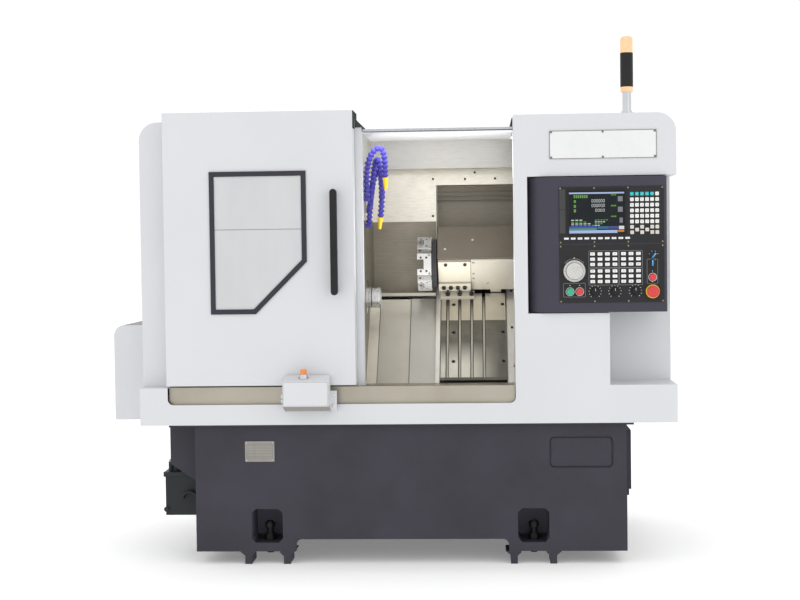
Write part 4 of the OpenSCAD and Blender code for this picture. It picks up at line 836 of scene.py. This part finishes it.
for body, x, z in dials:
    mark = Shape()
    mark.pad(front(-34), bar(x, z + 7, 9, 1.3, 90), ink(0.15))
    piece(body + "_mark", body, mark, ink_white)
    flutes = toothed(x, z, 96, 14.35, 14.1, ((13.6, -16.4), (None, -16.7), (None, -20.6), (13.6, -21.2)))
    piece(body + "_flutes", body, flutes, look_of["black_plastic"])


rim = toothed(wheel_x, wheel_z, 240, 37.8, 37.3,
              ((36.5, -17.8), (None, -18.2), (None, -27.2), (36.5, -28.1), (35.8, -28.05)))
piece("handwheel_knurl", "wheel", rim, look_of["satin_aluminium"])
wheel_face = front(-28)
# Dark ring at the edge of the hub's dished face: painted shade
groove = Shape()
groove.pad(wheel_face, disc(wheel_x, wheel_z, 30.2, 64), line(1.4, 0.2), closed=True)
piece("handwheel_groove_shade", "wheel", groove, dark_ink_and_shade)
lip = Shape()
lip.pad(front(-44), disc(wheel_x, wheel_z, 27.6, 64), [(0, 0), (1.0, 0.5), (1.2, 1.2), (0.9, 2.4), (0, 3.0)],
        closed=True)
piece("handwheel_lip", "wheel", lip, steel)
scale = Shape()
ticks(scale, wheel_face, wheel_x, wheel_z, 33.2, 35.4, 0.35, 0, 356.4, 100, 0.1)
ticks(scale, wheel_face, wheel_x, wheel_z, 30.5, 33.2, 0.45, 0, 324, 10, 0.1)
piece("handwheel_scale", "wheel", scale, dark_ink_and_shade)

# Marks and fittings of the casing

band = Shape()
band.pad(top(1664.7), disc(779, 66, 22.3, 64), [(0, 0), (117.7, 0), (117.7, 0.7), (0, 0.7)], closed=True)
piece("lamp_band", "frame", band, look_of["black_plastic"])
skin = Shape()
skin.pad(front(-2), rect(505, 1414, 874, 1513, 3), [(0.02, 0), (0.25, 0), (0.35, 0.3), (0.35, 1.0)])
skin_look = material("plate_white", (0.77, 0.775, 0.775), (0.25, 0.35), vary=0.02, tone=9, coat=0.2, edge=0.5)
piece("nameplate_skin", "frame", skin, skin_look)
plate_line = Shape()
plate_line.pad(front(-2.35), rect(505.6, 1414.6, 873.4, 1512.4, 3), line(2.4), closed=True)
line_look = material("line_grey", (0.17, 0.155, 0.135), (0.4, 0.5), vary=0.08, tone=40, edge=0.1)
piece("nameplate_line", "frame", plate_line, line_look)
heads = Shape()
for x in (512, 689, 867):
    for z in (1420, 1507):
        dome_screw(heads, front(-4), x, z, 3.8, 1.2)
screw_look = material("screw_grey", (0.2, 0.19, 0.18), (0.28, 0.4), 0.7, vary=0.1, tone=60, edge=0.4)
piece("nameplate_screw_heads", "frame", heads, screw_look)

plate = Shape()
plate.pad(front(38.5), rect(-576, 365, -471, 438, 2), [(0.02, 0), (0.25, 0), (0.35, 0.3), (0.35, 1.0)])
rivets = Shape()
for x in (-570, -477):
    for z in (371, 432):
        rivet(rivets, front(38.2), x, z, 2.8, 1.6)
piece("base_plate_rivets", "frame", rivets, steel)
plate_look = material("plate_satin", (0.3, 0.29, 0.26), (0.3, 0.42), 0.7, vary=0.06, tone=20,
                      grain=(300, (1, 1, 9), 0.05, 0.0001), grain_colour=0.2, edge=0.5, edge_colour=(0.8, 0.8, 0.8))
piece("base_plate_skin", "frame", plate, plate_look)
plate_rows = Shape()
plate_face = front(38.15)
for k in range(5):
    plate_rows.pad(plate_face, bar(-523.5, 384 + 10 * k, 86, 0.5), ink(0.08))
plate_rows.pad(plate_face, rect(-569, 378, -478, 428), line(0.6, 0.08), closed=True)
plate_rows.pad(plate_face, bar(-541, 404, 0.5, 47), ink(0.08))
piece("base_plate_lines", "frame", plate_rows, dark_ink_and_shade)

# Rough cast ground, as a grid of points with a flat back

field = Shape()
rows, columns = 29, 57
field_x, field_z, field_w, field_h = 609.5, 393.5, 217, 105
grid = []
for j in range(rows):
    for i in range(columns):
        u = field_x - field_w / 2 + field_w * i / (columns - 1)
        v = field_z - field_h / 2 + field_h * j / (rows - 1)
        corner = math.hypot(max(abs(u - field_x) - 88, 0), max(abs(v - field_z) - 32, 0))
        draw = 0.93 + 0.07 * min(1.0, 20 / max(corner, 1.0))
        lift = 0.5 + 0.5 * math.sin(i * 2.4 + 1.3 * math.sin(j * 1.7)) * math.sin(j * 2.1 + 0.9 * math.sin(i * 1.1))
        edge = i in (0, columns - 1) or j in (0, rows - 1)
        height = 0.05 if edge else 0.3 + 0.9 * lift
        grid.append((field_x + (u - field_x) * draw, field_z + (v - field_z) * draw, height))
back = len(grid)
field.points += [at(u, 44 - w, v) for u, v, w in grid] + [at(u, 44, v) for u, v, w in grid]
for j in range(rows - 1):
    for i in range(columns - 1):
        a = j * columns + i
        b = back + a
        field.faces += [(a, a + 1, a + columns + 1, a + columns), (b, b + columns, b + columns + 1, b + 1)]
border = ([i for i in range(columns)] + [j * columns + columns - 1 for j in range(1, rows)]
          + [(rows - 1) * columns + i for i in range(columns - 2, -1, -1)]
          + [j * columns for j in range(rows - 2, 0, -1)])
for a, b in zip(border, border[1:] + border[:1]):
    field.faces.append((a, b, b + back, a + back))
piece("cast_field", "frame", field, look_of["cast_paint"])

# Button box, tank and chamber

box_trim = Shape()
for z in (572, 608):
    dome_screw(box_trim, front(-37), -251, z, 4.5, 1.6)
piece("box_screw_heads", "frame", box_trim, steel)
glands = Shape()
for z in (590, 606):
    glands.loops([[at(x, -60 + r * math.cos(math.pi * k / 3), z + r * math.sin(math.pi * k / 3)) for k in range(6)]
                  for x, r in ((-421.5, 7.6), (-426.5, 7.6), (-427.2, 7.0))])
piece("box_gland_nuts", "frame", glands, look_of["black_plastic"])
lean = math.atan2(17, 75)


def box_top(u, v, w):
    """Place on the leaning top of the button box."""
    return at(u, v - w * math.sin(lean), 660 + (v + 97) * 17 / 75 + w * math.cos(lean))


box_ring = Shape()
box_ring.pad(top(668), disc(-352, -58, 14.8, 40), [(0.05, 0), (13.4, 0), (14.6, 0.6), (14.6, 2.4), (0.05, 2.8)],
             closed=True)
box_ring.pad(box_top, disc(-352, -58, 19, 40), [(0.05, 0), (2.0, 0.2), (2.8, 1.0), (2.8, 3.6), (0.05, 3.8)],
             closed=True)
piece("box_button_ring", "frame", box_ring, chrome)
box_line = Shape()
box_line.pad(front(-97), rect(-419, 576, -265, 658, 2), line(0.9, 0.2), closed=True)
piece("box_lid_seam", "frame", box_line, ink_grey)

filler = Shape()
filler.pad(top(342), disc(-847, 170, 18.6, 36), [(0.05, 0), (2.5, 0.6), (4.5, 3.5), (5.6, 8.0), (6.0, 13.0)])
piece("filler_cap", "frame", filler, chrome)
fitting = Shape()
fitting.pad(top(350), disc(-867, 160, 7.6, 6), [(0.05, 0), (6.0, 0), (6.8, 0.8)])
fitting.pad(top(356.8), disc(-867, 160, 4.2, 20), [(0.02, 0), (3.0, 0), (3.6, 0.8)])
piece("tank_fitting", "frame", fitting, brass)


slope_heads = Shape()
lean_back = 20 / 209  # of the upper rear wall
for x, z in ((82.5, 1380.6), (206.9, 1378.7), (244.8, 1403.8), (323.3, 1379.2), (81.2, 1236.6)):
    proud = 3.0 if (74 <= x <= 95 or z > 1356) and z < 1396 else 0.0

    def on_slope(u, v, w, proud=proud):
        return at(u, 620 + (v - 1215) * lean_back - proud - w, v)
    slope_heads.pad(on_slope, disc(x, z, 4.6, 20), [(0.05, 0), (1.2, 0), (2.4, 1.0), (2.6, 2.6)])
piece("liner_screw_heads", "frame", slope_heads, black_head)

rail_line = Shape()
rail_line.pad(front(63), rect(-144.5, 1523.1, 381.5, 1525.6), ink(0.3))
piece("rail_seal", "frame", rail_line, dark_ink_and_shade)
seams = Shape()
seams.pad(bed(-122), rect(-115.4, -320, -113.2, 98), ink(0.3))
seams.pad(bed(-119), rect(0.2, -320, 2.2, 98), ink(0.3))
piece("way_cover_seams", "frame", seams, dark_ink_and_shade)
# Dark bands in the chuck's grooves: painted shade
grooves = Shape()
for x, r, w in ((-138.2, 34.75, 3.0), (-113.2, 36.75, 1.0), (-105.6, 35.75, 0.9), (-146.0, 37.7, 0.8)):
    band = ((0, r - 0.3), (0, r), (w, r), (w, r - 0.3))
    grooves.loops([[at(x + a, SPINDLE_Y + q * math.cos(t), SPINDLE_Z + q * math.sin(t)) for a, q in band]
                   for t in (2 * math.pi * k / 72 for k in range(72))], closed=True)
piece("chuck_groove_shade", "spindle", grooves, dark_ink_and_shade)

# Screws of the slides and the turret

plate_heads = Shape()
for p in (-230, -90, 50):
    for x in (162.5, 344):
        cap_screw(plate_heads, bed(-106), x, p, 5.8, 6.5)
piece("plate_cap_screws", "cross_slide", plate_heads, black_head)
cover_heads = Shape()
for x, p in ((132.5, 174), (235, 220)):
    dome_screw(cover_heads, bed(74), x, p, 5.2, 2.4)
for x, n in ((237.5, 66), (237.5, 8), (237.5, -18), (290, -45)):
    dome_screw(cover_heads, apron(110), x, n, 4.6, 2.2)
piece("cover_screw_heads", "cross_slide", cover_heads, steel)
strip_heads = Shape()
for x, p in ((377.5, 128), (377.5, -57), (384, -244)):
    cap_screw(strip_heads, bed(-109), x, p, 4.6, 3.6)
piece("strip_cap_screws", "carriage", strip_heads, black_head)
nipple = Shape()
nipple.pad(bed(-109), disc(384.5, -229, 4.4, 20), [(0.05, 0), (3.5, 0), (5.0, 1.2), (5.6, 2.8)])
piece("grease_cap", "carriage", nipple, look_of["nozzle_yellow"])

set_screws = Shape()
for i in range(6):
    a = math.radians(195 + 60 * i)

    def on_block(u, v, w, a=a):
        """Place on the outer face of a tool block, at the angle a round the turret."""
        r = 83 + w
        return slant(u, 170 + r * math.cos(a) - v * math.sin(a), r * math.sin(a) + v * math.cos(a))
    for x in (43, 64):
        for v in (-25, 25):
            head(set_screws, on_block, x, v, 3.6, [(0.05, 1), (6.5, 1), (7.0, 0.86)], 0.55, 1.8)
piece("set_screws", "turret", set_screws, black_head)

pane_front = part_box("window_panes")[0][1] * 1000 - SHIFT[1]
pane_seam = Shape()
pane_seam.pad(front(pane_front), rect(-676, 1184.6, -341, 1187.4), [(0.02, 0), (0.2, 0), (0.3, 0.3)])
piece("pane_seam", "door", pane_seam, ink_grey)

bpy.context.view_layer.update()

# Floor

floor_mesh = bpy.data.meshes.new("floor")
floor_mesh.from_pydata([(-30, -30, 0), (30, -30, 0), (30, 30, 0), (-30, 30, 0)], [], [(0, 1, 2, 3)])
floor = bpy.data.objects.new("floor", floor_mesh)
bpy.context.scene.collection.objects.link(floor)
fm, fnt, fshader = tree("floor")
fnt.links.new(mixed(fnt, noise(fnt, 0.8), (0.94, 0.94, 0.94), (0.97, 0.97, 0.97)), fshader.inputs["Base Color"])
fshader.inputs["Roughness"].default_value = 0.9
fshader.inputs["Emission Color"].default_value = (1, 1, 1, 1)
fshader.inputs["Emission Strength"].default_value = 0.2
floor_mesh.materials.append(fm)
